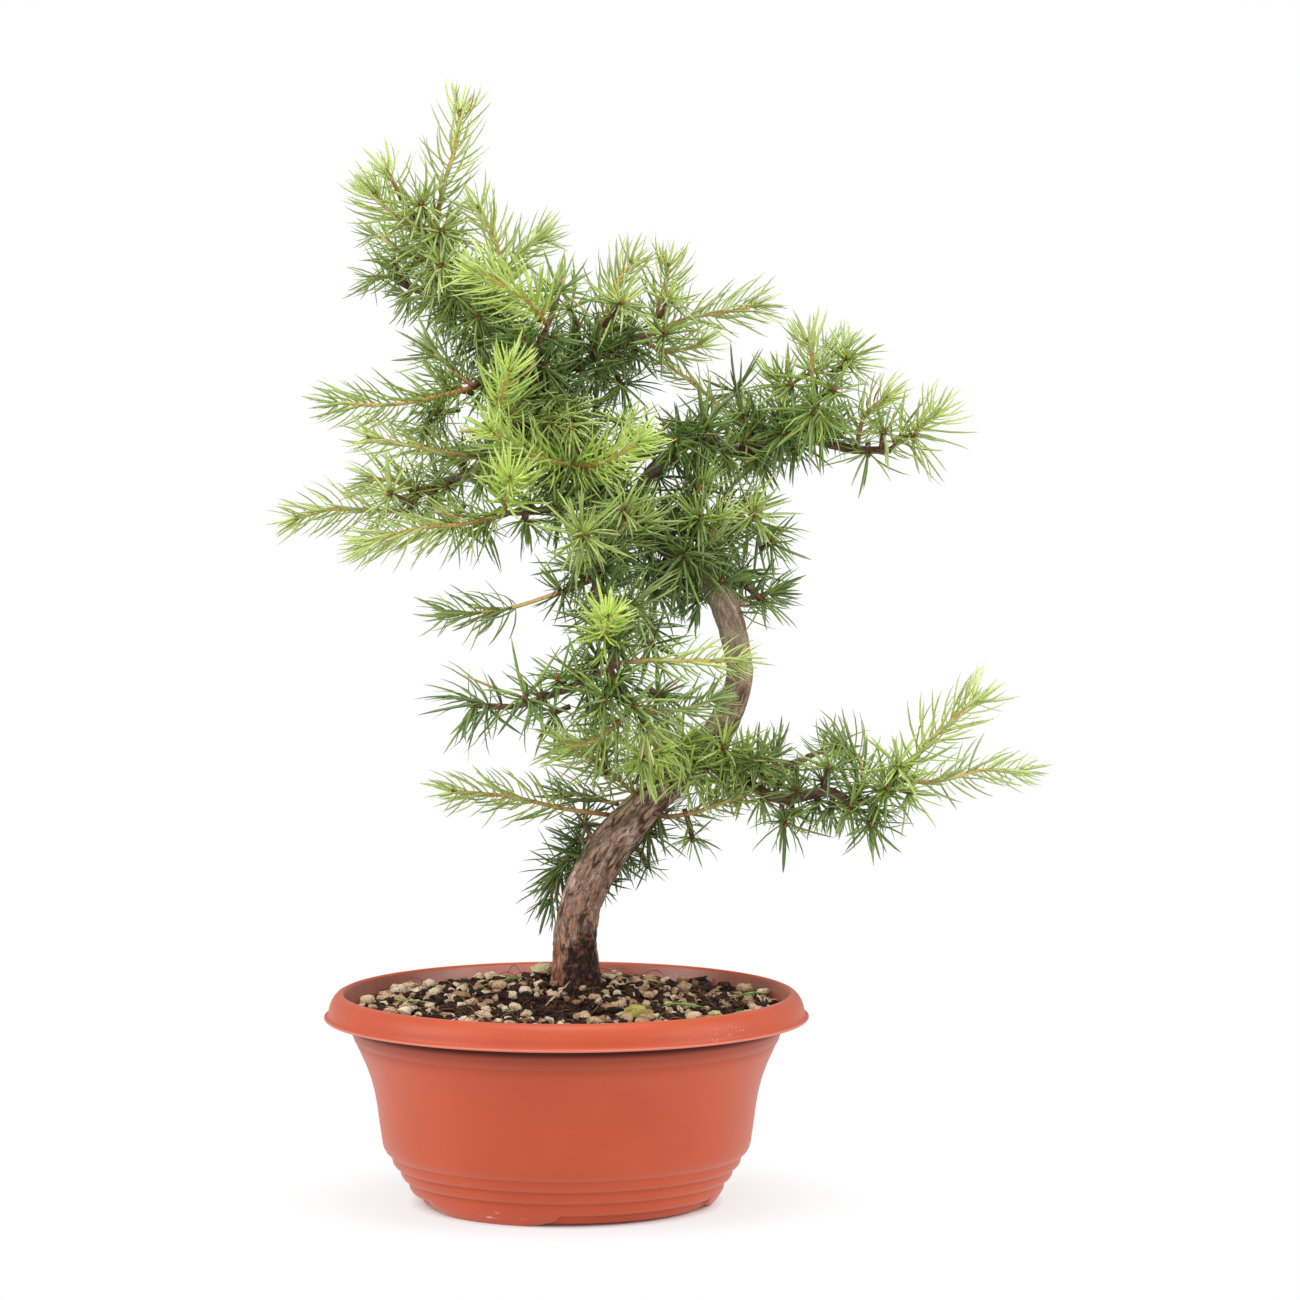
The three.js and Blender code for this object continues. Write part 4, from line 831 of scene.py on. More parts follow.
# By the soil it flakes off red-brown, is split open on the left and black with wet on the right.
flakes = spread(tree, mottle(tree, along, 270.0, 3.0, 0.55, (1, 1, 0.8)), 0.61, 0.64, 0.0, 0.9)
colour = laid_over(tree, product(tree, flakes, low_down), colour, (0.80, 0.310, 0.125))
torn = thrown_about(tree, where, moved(tree, where, (-0.008,) * 3), 150, 5, 0.016)
split = near(tree, torn, (-5.5, 19, 97), (4.6, 10, 26))
bare = ramp(tree, mottle(tree, along, 330.0, 4.0, 0.6, (1, 1, 0.3)),
            (0.38, (0.200, 0.062, 0.036)), (0.52, (0.560, 0.200, 0.110)),
            (0.64, (0.700, 0.470, 0.390)))
colour = laid_over(tree, spread(tree, split, 0.10, 0.55, 0.0, 0.85), colour, bare)
colour = laid_over(tree, near(tree, torn, (-7.0, 20, 90), (1.5, 7, 10)), colour, BLACK_WET)
wet = spread(tree, near(tree, torn, (8.5, 16, 96), (11.5, 13, 33)), 0.05, 0.55, 0.0, 0.97)
damp = ramp(tree, mottle(tree, along, 380.0, 4.0), (0.44, BLACK_WET),
            (0.56, (0.060, 0.024, 0.016)), (0.64, (0.260, 0.080, 0.040)))
colour = laid_over(tree, wet, colour, damp)
tree.links.new(colour, surface["Base Color"])
tree.links.new(spread(tree, wet, 0.0, 1.0, 0.82, 0.55), surface["Roughness"])
raised = product(tree, spread(tree, plates, 0.0, 0.14, 0.3, 1.0),
                 streaks_along(tree, along, 600.0, 0.25, 0.30, 0.66, 1.0))
relief(tree, surface, raised, 0.9, 0.0014)

# The limbs' bark is younger: red-brown and finely wrinkled.
limb_bark, tree, surface = shader("young bark", 0.75, 0.3)
along = add_node(tree, "Attribute", attribute_name="grain").outputs["Vector"]
colour = ramp(tree, mottle(tree, along, 190.0, 4.0, 0.6, (1, 1, 0.6)),
              (0.36, (0.075, 0.040, 0.028)), (0.52, (0.155, 0.082, 0.056)),
              (0.68, (0.270, 0.175, 0.130)))
wrinkles = streaks_along(tree, along, 800.0, 0.35, 0.52, 0.64, 0.6)
colour = laid_over(tree, wrinkles, colour, (0.36, 0.215, 0.140))
tree.links.new(colour, surface["Base Color"])
relief(tree, surface, mottle(tree, along, 800.0, 4.0, 0.7, (1, 1, 0.4)), 0.7)

wood_piece = piece_from(wood, "trunk_and_limbs", bark, limb_bark)
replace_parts(wood_piece, "wood")

# ------------------------------------------------------------------ shoots and spurs
# This year's growth. A shoot is a thin orange-brown stem with single soft needles set in a spiral
# and a tuft at its tip; a spur is a brown bud on a stub with a whorl of needles round it.
# The four tones are partly the needles' own colour and partly painted light and shade: sprays in
# front and in the light get the brighter tones, those at the back, below or deep in the crown the
# darker ones.
TONES = ("bright", "light", "mid", "dark")
NEEDLE_FORMS = [  # how far it bends to the shoot's tip, and sideways, as shares of the length
    (-0.10, 0.10), (0.05, -0.10), (0.14, 0.06), (0.22, -0.05), (0.30, 0.10), (0.38, -0.08),
    (0.48, 0.05), (0.62, -0.12), (0.75, 0.16)]
FORWARD = 5  # the number of the first form for needles over 25 mm, which all bend forward
CURLED = 7  # and of the first one that needles of up to 24 mm can't have
NEEDLE_RINGS = [(0.0, 0.58), (0.22, 0.95), (0.52, 1.0), (0.82, 0.74), (1.0, 0.12)]  # along, width
NEEDLE_WIDTH = 0.0415  # half the width, as a share of the length
NEEDLE_THICKNESS = 0.45  # of the width
NEEDLE_PITCH = 0.82
FULL_WIDTH_LENGTH = 18  # a longer needle is no wider than one of this length
GOLDEN_ANGLE = 2.39996  # from one needle or spur to the next round its stem, in radians
ROOT_DEPTH = 2.0  # how deep a stem is set in the wood
STEM_SIDES = 7
STEM_STEP = 1.5
STEM_RADIUS = 1.15
STEM_TAPER = 0.38
STUB_RADIUS = 1.3
SHOOT_BUD = 1.9
SPUR_BUD = 3.1
BRUSH_NEEDLES = 15  # how many a full one has
WHORL_NEEDLES = 33
OLD_WHORL_NEEDLES = 14
WHORL_HEART = 12  # degrees off its axis that a whorl's innermost needle stands
SHOOT_LEAN = 66  # degrees that a shoot's lowest needles lean off its stem
TIP_LEAN = 18  # less at its tip
BRUSH_HEART, BRUSH_SPREAD = 12, 52  # degrees off its axis, and how much more at its edge
SKINS = {"needle": 0, "bud": 1, "stem": 2, "underside": 3, "stub": 4}


def needle_form(bend, sway):
    """One needle a unit long: a three-sided blade, keeled above and flat and greyer below."""
    bm = bmesh.new()
    share = bm.verts.layers.float.new("share")
    last = len(NEEDLE_RINGS) - 1
    bmesh.ops.create_cone(bm, cap_ends=True, segments=3, radius1=1, radius2=1, depth=last)
    cut_along(bm, 2, last - 1)
    for face in bm.faces:
        face.material_index = SKINS["underside" if face.normal.y < -0.9 else "needle"]
    for corner in bm.verts:
        t, width = NEEDLE_RINGS[round(corner.co.z + last / 2)]
        width *= NEEDLE_WIDTH
        corner[share] = t
        corner.co = Vector((corner.co.x / 0.866 * width + sway * t * t,
                            corner.co.y * width * NEEDLE_THICKNESS + bend * t * t,
                            t - 0.5 * bend ** 2 * t))
    return mesh_of(bm, "needle")


def bud_form():
    """One bud a unit across, a little longer than wide."""
    bm = bmesh.new()
    bmesh.ops.create_icosphere(bm, subdivisions=1, radius=0.5)
    bmesh.ops.subdivide_edges(bm, edges=bm.edges, cuts=1, use_grid_fill=True)
    for corner in bm.verts:
        corner.co = corner.co.lerp(corner.co.normalized() * 0.5, 0.8)
        corner.co.z *= 1.35 if corner.co.z > 0 else 0.9
    for face in bm.faces:
        face.material_index = SKINS["bud"]
    return mesh_of(bm, "bud")


needle_forms = [needle_form(*form) for form in NEEDLE_FORMS]
bud_shape = bud_form()


def facing(direction, toward):
    """A turn that takes +Z to a direction and +Y as near as it can to a second one."""
    up = toward - direction * toward.dot(direction)
    up = up.normalized() if up.length > 1e-4 else direction.orthogonal().normalized()
    return Matrix((up.cross(direction), up, direction)).transposed().to_4x4()


def leaning(axis, out, lean):
    """A direction that leans out from an axis."""
    return axis * math.cos(lean) + out * math.sin(lean)


def set_needle(spray, root, direction, toward, length, youth, draw, least=0):
    """One needle, rooted in millimetres, that bends toward a second direction."""
    bm, tint, fresh = spray
    turn = facing(direction.normalized(), toward)
    turn = turn @ Matrix.Rotation(draw.uniform(-0.5, 0.5), 4, "Z")
    slim = min(1, FULL_WIDTH_LENGTH / length) * draw.uniform(0.72, 1.05)
    matrix = (Matrix.Translation(root * MM) @ turn @ Matrix.Scale(length * MM, 4)
              @ Matrix.Diagonal((slim, 1, 1, 1)))
    most = None if least == FORWARD or length > 24 else CURLED
    form = draw.choice(needle_forms[least:most])
    add_copy(bm, form, matrix, [(tint, draw.random()), (fresh, youth)])


def set_bud(spray, place, direction, size, draw):
    """One bud, in millimetres."""
    bm, tint, fresh = spray
    turn = facing(direction, Vector((draw.uniform(-1, 1), draw.uniform(-1, 1), 0.3)))
    matrix = Matrix.Translation(place * MM) @ turn @ Matrix.Scale(size * MM, 4)
    add_copy(bm, bud_shape, matrix, [(tint, draw.random()), (fresh, 0.5)])


def whorl(spray, heart, axis, length, count, draw, opening=100):
    """The needles of a spur: a whorl that opens round its bud by up to opening degrees."""
    set_bud(spray, heart + axis, axis, SPUR_BUD, draw)
    side, least = axis.orthogonal().normalized(), FORWARD if length > 25 else 0
    for i in range(count):
        around = i * GOLDEN_ANGLE + draw.uniform(-0.6, 0.6)
        lean = math.radians(WHORL_HEART + (opening - WHORL_HEART) * math.sqrt((i + 0.5) / count)
                            + draw.uniform(-17, 17))
        direction = leaning(axis, Matrix.Rotation(around, 3, axis) @ side, lean)
        bend = axis * draw.uniform(-0.4, 1.0) + Vector((0, 0, draw.uniform(-0.9, 0.3)))
        reach = length * draw.uniform(0.52, 1.14)
        set_needle(spray, heart + direction * 0.8, direction, bend, reach,
                   draw.uniform(0.1, 0.9), draw, least)


def rooted(points):
    """A stem's points as vectors, with the first set back into the wood."""
    points = [Vector(p) for p in points]
    points[0] = points[0] - (points[1] - points[0]).normalized() * ROOT_DEPTH
    return points


def shoot(spray, points, length, fullness, draw):
    """A shoot: its stem, its single needles and the brush at its tip.

    A thin one is bare at its root.
    """
    bare, least = 1.6 * max(0, 0.8 - fullness), FORWARD if length > 25 else 2
    points = rooted(points)
    line = smooth_line([(*p, STEM_RADIUS - STEM_TAPER * i / (len(points) - 1))
                        for i, p in enumerate(points)], STEM_STEP)
    bent_rod(spray[0], line, STEM_SIDES, material=SKINS["stem"])
    frames = frames_along(line)
    last = len(line) - 1
    count = round(STEM_STEP * last / NEEDLE_PITCH * fullness)
    for i in range(count):
        at = (0.05 + bare + (0.94 - bare) * (i + 0.5) / count) * last
        j = min(int(at), last - 1)
        centre = line[j][0].lerp(line[j + 1][0], at - j)
        side, across, tangent = frames[j]
        share = at / last
        around = i * GOLDEN_ANGLE + draw.uniform(-0.4, 0.4)
        lean = math.radians(SHOOT_LEAN - TIP_LEAN * share ** 2 + draw.uniform(-10, 10))
        out = leaning(side, across, around)
        direction = leaning(tangent, out, lean)
        direction.z += draw.uniform(-0.04, 0.14)
        size = length * draw.uniform(0.76, 1.10) * (0.8 + 0.2 * min(1, share * 4))
        size *= 1 - 0.16 * max(0, share - 0.75) / 0.25
        set_needle(spray, centre + out * 0.6, direction, tangent, size, share, draw, least)
    tip, (side, across, tangent) = line[-1][0], frames[-1]
    count = round(BRUSH_NEEDLES * fullness)
    for i in range(count):
        lean = math.radians(BRUSH_HEART + BRUSH_SPREAD * math.sqrt((i + 0.5) / count)
                            + draw.uniform(-8, 8))
        direction = leaning(tangent, leaning(side, across, i * GOLDEN_ANGLE), lean)
        set_needle(spray, tip - tangent * draw.uniform(0, 3), direction, tangent,
                   length * draw.uniform(0.48, 0.80), 1.0, draw)
    set_bud(spray, tip, tangent, SHOOT_BUD, draw)


def spur(spray, points, length, fullness, draw):
    """A spur: its stub and its whorl. A long stub bears an older, thinner whorl halfway."""
    line = smooth_line([(*p, STUB_RADIUS) for p in rooted(points)], STEM_STEP)
    bent_rod(spray[0], line, STEM_SIDES, material=SKINS["stub"])
    axis = (line[-1][0] - line[0][0]).normalized()
    whorl(spray, line[-1][0], axis, length, round(WHORL_NEEDLES * fullness), draw)
    if len(line) > 8:
        whorl(spray, line[len(line) // 2][0], axis, 0.8 * length,
              round(OLD_WHORL_NEEDLES * fullness), draw, 95)


# Each row: the node it stands for, its tone (partly painted light and shade), its needles' length,
# how full it is, and its stems.
SPRAYS = [
    ("shoot_leader", "light", 23, 0.8,
     (shoot, (-60, 6, 450), (-55, 4, 470), (-50, 2, 487), (-48, 0, 501))),
    ("shoot_crown_left_high", "light", 23, 1.3,
     (shoot, (-60, 7, 443), (-69, 2, 448), (-79, -4, 454), (-87, -10, 464))),
    ("shoot_crown_left_low", "mid", 16, 0.9,
     (shoot, (-58, 8, 432), (-72, 14, 435), (-83, 20, 442), (-89, 24, 445))),
    ("shoot_crown_left_back", "mid", 18, 0.9,
     (shoot, (-81, 33, 425), (-87, 36, 426), (-92, 38, 424))),
    ("shoot_crown_front", "bright", 24, 1.35,
     (shoot, (-9, -23, 405), (-16, -33, 414), (-28, -43, 422), (-39, -48, 428))),
    ("shoot_crown_middle", "light", 21, 1.1,
     (shoot, (-41, 9, 407), (-30, 0, 425), (-33, -8, 445), (-40, -12, 457))),
    ("shoot_crown_back", "light", 21, 1.25,
     (shoot, (-33, 8, 399), (-29, 20, 425), (-20, 26, 438), (-12, 30, 443))),
    ("spur_crown_front", "mid", 22, 1.0, (spur, (-8, -22, 403), (-5, -14, 412), (-3, -10, 419))),
    ("shoots_high_right_inner", "light", 22, 1.0,
     (shoot, (12, 28, 388), (17, 28, 405), (24, 33, 424), (30, 36, 432)),
     (spur, (17, 28, 403), (22, 20, 408), (25, 14, 413))),
    ("shoot_high_right_upper", "light", 21, 1.0,
     (shoot, (41, 51, 401), (43, 48, 414), (46, 45, 424), (47, 43, 431))),
    ("shoot_high_right_end", "light", 22, 1.0,
     (shoot, (44, 53, 401), (56, 57, 406), (74, 60, 409), (88, 62, 412))),
    ("shoot_high_right_low", "light", 19, 1.0,
     (shoot, (34, 46, 397), (45, 38, 391), (54, 35, 392), (62, 33, 395))),
    ("shoot_thin_twig", "light", 15, 0.8,
     (shoot, (84, 32, 355), (74, 42, 363), (57, 51, 377), (44, 57, 386))),
    ("shoot_left_middle_back", "mid", 22, 1.0,
     (shoot, (-43, -14, 377), (-50, -7, 382), (-56, -2, 388), (-62, 2, 391))),
    ("shoot_left_middle", "mid", 21, 0.95,
     (shoot, (-44, -15, 375), (-60, -26, 371), (-80, -33, 368), (-103, -40, 369))),
    ("shoot_left_front", "light", 20, 1.0,
     (shoot, (-39, -24, 344), (-52, -32, 346), (-70, -40, 350), (-88, -46, 354))),
    ("shoot_centre_front", "bright", 22, 1.3,
     (shoot, (-30, -31, 361), (-29, -40, 369), (-27, -46, 377), (-24, -52, 385))),
    ("shoots_centre_pair", "bright", 23, 1.3,
     (shoot, (5, -3, 338), (3, -18, 340), (-14, -36, 345), (-33, -54, 357)),
     (shoot, (2, -19, 340), (14, -28, 341), (23, -40, 345), (33, -52, 352))),
    ("spur_centre_back", "bright", 22, 1.0, (spur, (21, 20, 360), (25, 11, 358), (27, 6, 357))),
    ("shoot_left_end", "light", 20, 0.95,
     (shoot, (-75, 31, 317), (-90, 32, 317), (-108, 29, 318), (-125, 24, 314))),
    ("shoot_left_low", "light", 22, 1.25,
     (shoot, (-28, -34, 318), (-44, -46, 315), (-66, -52, 313), (-88, -58, 307))),
    ("shoot_brush_front", "bright", 24, 1.4,
     (shoot, (-27, -35, 321), (-26, -48, 329), (-24, -60, 336))),
    ("shoots_hanging_upper", "mid", 25, 1.0,
     (shoot, (14, -44, 293), (16, -41, 304), (25, -38, 311), (35, -34, 316)),
     (spur, (15, -42, 299), (10, -55, 306), (8, -62, 310))),
    ("shoot_hanging_left", "mid", 20, 0.5,
     (shoot, (14, -46, 290), (-4, -40, 283), (-28, -28, 275), (-55, -16, 272))),
    ("shoot_hanging_low_left", "dark", 26, 0.6,
     (spur, (8, -71, 246), (-5, -77, 240), (-22, -78, 235), (-39, -72, 235)),
     (spur, (-24, -78, 235), (-30, -76, 235), (-33, -75, 235)),
     (spur, (-16, -79, 237), (-17, -81, 238), (-17, -83, 239))),
    ("shoot_hanging_bright", "bright", 22, 1.25,
     (shoot, (21, -61, 262), (18, -72, 267), (19, -82, 272), (20, -90, 276))),
    ("shoot_low_left", "light", 21, 0.62,
     (shoot, (20, 22, 176), (-2, 4, 181), (-25, -12, 188), (-51, -26, 192))),
    ("shoot_hanging_right", "bright", 18, 0.8,
     (shoot, (22, -61, 253), (39, -58, 254), (60, -46, 253), (80, -34, 252))),
    ("shoot_hanging_tip", "mid", 21, 1.0,
     (shoot, (29, -60, 232), (45, -56, 231), (56, -50, 232), (67, -42, 235))),
    ("shoot_hanging_under", "mid", 22, 0.85,
     (shoot, (28, -61, 231), (21, -71, 224), (8, -79, 218), (-1, -85, 219))),
    ("spur_hanging_low", "mid", 26, 1.0, (spur, (22, -62, 240), (20, -68, 239), (18, -72, 238))),
    ("spur_trunk_bend", "mid", 21, 1.0, (spur, (62, 12, 206), (56, 0, 209), (53, -6, 212))),
    ("shoot_trunk_right", "dark", 21, 1.0,
     (shoot, (74, 5, 272), (84, 12, 277), (90, 17, 279), (96, 21, 280))),
    ("spur_trunk_back", "mid", 20, 1.0, (spur, (64, 4, 293), (76, 22, 290), (81, 29, 289))),
    ("spur_trunk_front", "dark", 30, 1.15, (spur, (60, 0, 294), (55, -12, 296), (53, -17, 298))),
    ("shoot_low_back", "dark", 20, 1.1,
     (shoot, (14, 24, 152), (4, 40, 156), (-4, 46, 147), (-9, 52, 131))),
    ("shoots_low_front", "mid", 15, 0.8,
     (shoot, (47, 5, 177), (57, 0, 179), (70, -8, 184), (82, -14, 189)),
     (spur, (55, 1, 179), (57, 5, 172), (58, 8, 167))),
    ("spur_low_back", "dark", 12, 0.6, (spur, (34, 43, 156), (36, 50, 152), (37, 54, 149))),
    ("spur_lower_right_end", "bright", 20, 1.0,
     (spur, (149, -29, 193), (150, -35, 200), (151, -39, 205))),
    ("shoot_lower_right_up", "light", 24, 0.72,
     (shoot, (153, -29, 198), (162, -35, 212), (174, -43, 225), (185, -48, 236))),
    ("shoot_lower_right_end", "light", 19, 0.75,
     (shoot, (154, -28, 197), (168, -23, 196), (189, -12, 200), (209, -4, 199))),
    ("shoot_lower_right_mid", "mid", 21, 1.0,
     (shoot, (133, -24, 188), (136, -15, 198), (133, -10, 207), (126, -6, 213))),
    ("spur_lower_right_back", "dark", 17, 1.0,
     (spur, (113, 29, 203), (120, 34, 205), (125, 37, 206))),
    ("spur_lower_right_root", "dark", 18, 1.0,
     (spur, (85, -3, 193), (88, -9, 200), (88, -13, 204))),
    ("spur_lower_right_under", "dark", 21, 0.9,
     (spur, (99, -12, 186), (99, -17, 181), (100, -20, 177))),
    ("spur_lower_right_low", "dark", 21, 0.9,
     (spur, (138, -27, 188), (139, -33, 183), (139, -37, 179))),
    ("spur_right_upper_root", "dark", 21, 1.0, (spur, (62, 16, 350), (61, 7, 351), (60, 2, 352))),
    ("spur_right_upper_mid", "dark", 22, 1.0,
     (spur, (100, 22, 354), (100, 13, 355), (100, 8, 354))),
    ("shoot_right_upper_end", "light", 25, 0.8,
     (shoot, (150, 14, 347), (156, 8, 352), (163, 4, 357), (169, 0, 363))),
    ("spur_right_upper_front", "mid", 27, 1.1,
     (spur, (115, 2, 367), (114, -6, 365), (114, -11, 364))),
    ("shoots_right_upper_top", "light", 20, 1.0,
     (shoot, (114, -3, 376), (112, -9, 383), (112, -13, 391), (110, -16, 397)),
     (shoot, (112, -8, 382), (118, 2, 384), (125, 12, 391))),
    ("shoot_right_upper_back", "light", 19, 1.0,
     (shoot, (134, 18, 347), (137, 15, 361), (141, 12, 366), (147, 10, 370))),
    ("spur_right_upper_back", "dark", 21, 0.75,
     (spur, (82, 39, 361), (80, 45, 368), (79, 49, 372))),
    ("shoot_right_middle_end", "light", 15, 0.8,
     (shoot, (71, 19, 321), (76, 24, 328), (82, 27, 334), (90, 29, 339))),
    ("shoot_right_middle_inner", "mid", 20, 1.0,
     (shoot, (64, 8, 303), (57, 5, 315), (58, 1, 324), (64, -4, 332))),
    ("shoots_right_middle_low", "mid", 22, 1.0,
     (shoot, (70, 17, 317), (79, 13, 316), (85, 7, 320)),
     (spur, (78, 14, 316), (85, 23, 311), (89, 29, 308))),
]
NEEDLE_COLOURS = {  # linear red, green, blue: at the root of a shoot, at its tip, and underneath
    "bright": ((0.370, 0.560, 0.062), (0.760, 0.925, 0.245), (0.440, 0.570, 0.180)),
    "light": ((0.305, 0.450, 0.062), (0.715, 0.825, 0.255), (0.420, 0.505, 0.225)),
    "mid": ((0.185, 0.320, 0.040), (0.510, 0.650, 0.145), (0.230, 0.320, 0.135)),
    "dark": ((0.080, 0.168, 0.026), (0.330, 0.470, 0.098), (0.124, 0.180, 0.076)),
}
DEAD_STRAW = (0.55, 0.30, 0.09)
WITHERED_BROWN = (0.30, 0.13, 0.055)


def tinted(colour, *shares):
    """A colour with its red, green and blue made stronger or weaker."""
    return tuple(share * part for share, part in zip(shares * 3, colour))


def needle_material(tone, underneath):
    """Soft green needles: deeper at a shoot's root, each with its own shade and a pale tip."""
    name = "needles " + tone + (" underneath" if underneath else "")
    material, tree, surface = shader(name, 0.45, 0.42)
    old, young, below = NEEDLE_COLOURS[tone]
    fresh, tint, share = (add_node(tree, "Attribute", attribute_name=layer).outputs["Fac"]
                          for layer in ("fresh", "tint", "share"))
    green = laid_over(tree, fresh, old, young)
    deep = spread(tree, tint, 0.0, 0.55, 0.55, 0.0)
    green = laid_over(tree, deep, green, tinted(old, 0.55))
    pale = spread(tree, tint, 0.6, 1.0, 0.0, 0.45)
    green = laid_over(tree, pale, green, tinted(young, 1.25))
    if underneath:
        green = laid_over(tree, spread(tree, tint, 0.0, 1.0, 0.75, 0.5), green, below)
    green = laid_over(tree, spread(tree, tint, 0.992, 0.994), green, DEAD_STRAW)
    root = spread(tree, share, 0.0, 0.30, 0.35, 0.0)
    green = laid_over(tree, root, green, tinted(young, 1.15))
    tip = spread(tree, share, 0.50, 1.0, 0.0, 0.40)
    green = laid_over(tree, tip, green, tinted(young, 0.62, 0.68, 1.15))
    withered = product(tree, spread(tree, share, 0.86, 0.92, 0.0, 0.8),
                       spread(tree, tint, 0.06, 0.05))
    green = laid_over(tree, withered, green, WITHERED_BROWN)
    tree.links.new(green, surface["Base Color"])
    return material


needle_skins = {tone: needle_material(tone, False) for tone in TONES}
needle_undersides = {tone: needle_material(tone, True) for tone in TONES}

bud_skin, tree, surface = shader("bud scales", 0.34, 0.5)
scaly = ramp(tree, mottle(tree, place_on(tree), 900.0, 3.0), (0.35, (0.10, 0.028, 0.012)),
             (0.65, (0.36, 0.12, 0.045)))
tree.links.new(scaly, surface["Base Color"])

# A young stem is red-brown where it leaves the wood and turns straw-coloured toward its tip.
stem_skin, tree, surface = shader("young stem", 0.6, 0.4)
along = add_node(tree, "Attribute", attribute_name="grain").outputs["Vector"]
where = place_on(tree)
rind = ramp(tree, spread(tree, height_of(tree, along), 0.0, 0.03), (0.0, (0.20, 0.075, 0.032)),
            (0.25, (0.46, 0.230, 0.075)), (1.0, (0.76, 0.520, 0.180)))
knots = spread(tree, mottle(tree, where, 520.0, 4.0), 0.48, 0.66, 0.0, 0.55)
tree.links.new(laid_over(tree, knots, rind, (0.40, 0.180, 0.060)), surface["Base Color"])
relief(tree, surface, mottle(tree, where, 1200.0, 3.0), 0.5)


def leafy_piece(bm, name, tone):
    """Finishes a piece of needles, buds and stems of one tone. Its skins are those of SKINS."""
    made = piece_from(bm, name, needle_skins[tone], bud_skin, stem_skin,
                      needle_undersides[tone], limb_bark)
    return made


def new_spray():
    """An empty spray: its bmesh, with each needle's shade and youth on its vertices."""
    bm = bmesh.new()
    return bm, bm.verts.layers.float.new("tint"), bm.verts.layers.float.new("fresh")


for number, (node, tone, length, fullness, *stems) in enumerate(SPRAYS):
    spray = new_spray()
    draw = random.Random(500 + number)
    for grow, *points in stems:
        grow(spray, points, length, fullness, draw)
    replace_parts(leafy_piece(spray[0], node + "_leafy", tone), node)

# ------------------------------------------------------------------ old spurs
# Older spurs crowd the limbs and the upper trunk between the shoots, each a brown bud on a short
# stub in the bark with a full whorl of needles.
SPUR_ROWS = [  # wood, their start and end along it in millimetres, their spacing, tone, length
    ("lower_right", 20, 52, 8.5, "light", 17), ("lower_right", 52, 98, 6.0, "dark", 17),
    ("lower_right_spur", 6, 40, 8.5, "mid", 16), ("right_upper", 24, 54, 4.6, "dark", 20),
    ("right_upper", 54, 80, 4.6, "mid", 20), ("right_upper", 80, 112, 4.6, "dark", 20),
    ("right_upper_twig", 6, 24, 6, "mid", 20), ("right_upper_back", 4, 18, 5, "mid", 20),
    ("right_middle", 8, 30, 6, "dark", 20), ("high_right", 8, 72, 4.6, "dark", 19),
    ("high_front", 8, 36, 6, "dark", 19), ("high_left", 8, 46, 6, "mid", 18),
    ("left_main", 12, 84, 5.5, "mid", 19), ("left_middle", 8, 26, 5.5, "mid", 19),
    ("left_front", 10, 40, 6, "mid", 19), ("centre_front", 8, 36, 6, "mid", 19),
    ("brush_front", 12, 46, 6, "mid", 20), ("centre_back", 8, 34, 5, "dark", 19),
    ("hanging", 8, 104, 5, "dark", 20), ("hanging_twig", 4, 14, 6, "dark", 20),
    ("low_back", 4, 20, 7, "dark", 15), ("trunk", 246, 412, 3.8, "dark", 20),
    ("trunk", 412, 440, 3.4, "mid", 18), ("trunk", 440, 474, 5, "light", 17)]
SPUR_NEEDLES = 28
SPUR_OPENING = 88  # degrees
STUB_FOOT_RADIUS = 1.5

wood_lines = {"trunk": TRUNK, **LIMBS}
spur_pieces = {}
draw = random.Random(77)
for name, start, end, spacing, tone, length in SPUR_ROWS:
    line = smooth_line(wood_lines[name], 1.0)
    frames = frames_along(line)
    if tone not in spur_pieces:
        spur_pieces[tone] = new_spray()
    spray = spur_pieces[tone]
    place_along, number = start, 0
    while place_along < min(end, len(line) - 2):
        centre, radius = line[int(place_along)]
        side, across, tangent = frames[int(place_along)]
        out = leaning(side, across, number * GOLDEN_ANGLE + draw.uniform(-0.5, 0.5))
        axis = (out + tangent * draw.uniform(-0.2, 0.5) + Vector((0, 0, 0.15))).normalized()
        heart = centre + out * radius + axis * draw.uniform(2, 4)
        stub = [(*(centre + out * radius * 0.6), STUB_FOOT_RADIUS), (*heart, STUB_RADIUS)]
        bent_rod(spray[0], smooth_line(stub, STEM_STEP), STEM_SIDES, material=SKINS["stub"])
        whorl(spray, heart, axis, length * draw.uniform(0.85, 1.12), SPUR_NEEDLES, draw,
              SPUR_OPENING)
        place_along += spacing * draw.uniform(0.75, 1.25)
        number += 1
for tone, (bm, _, _) in spur_pieces.items():
    leafy_piece(bm, "old_spurs_" + tone, tone)

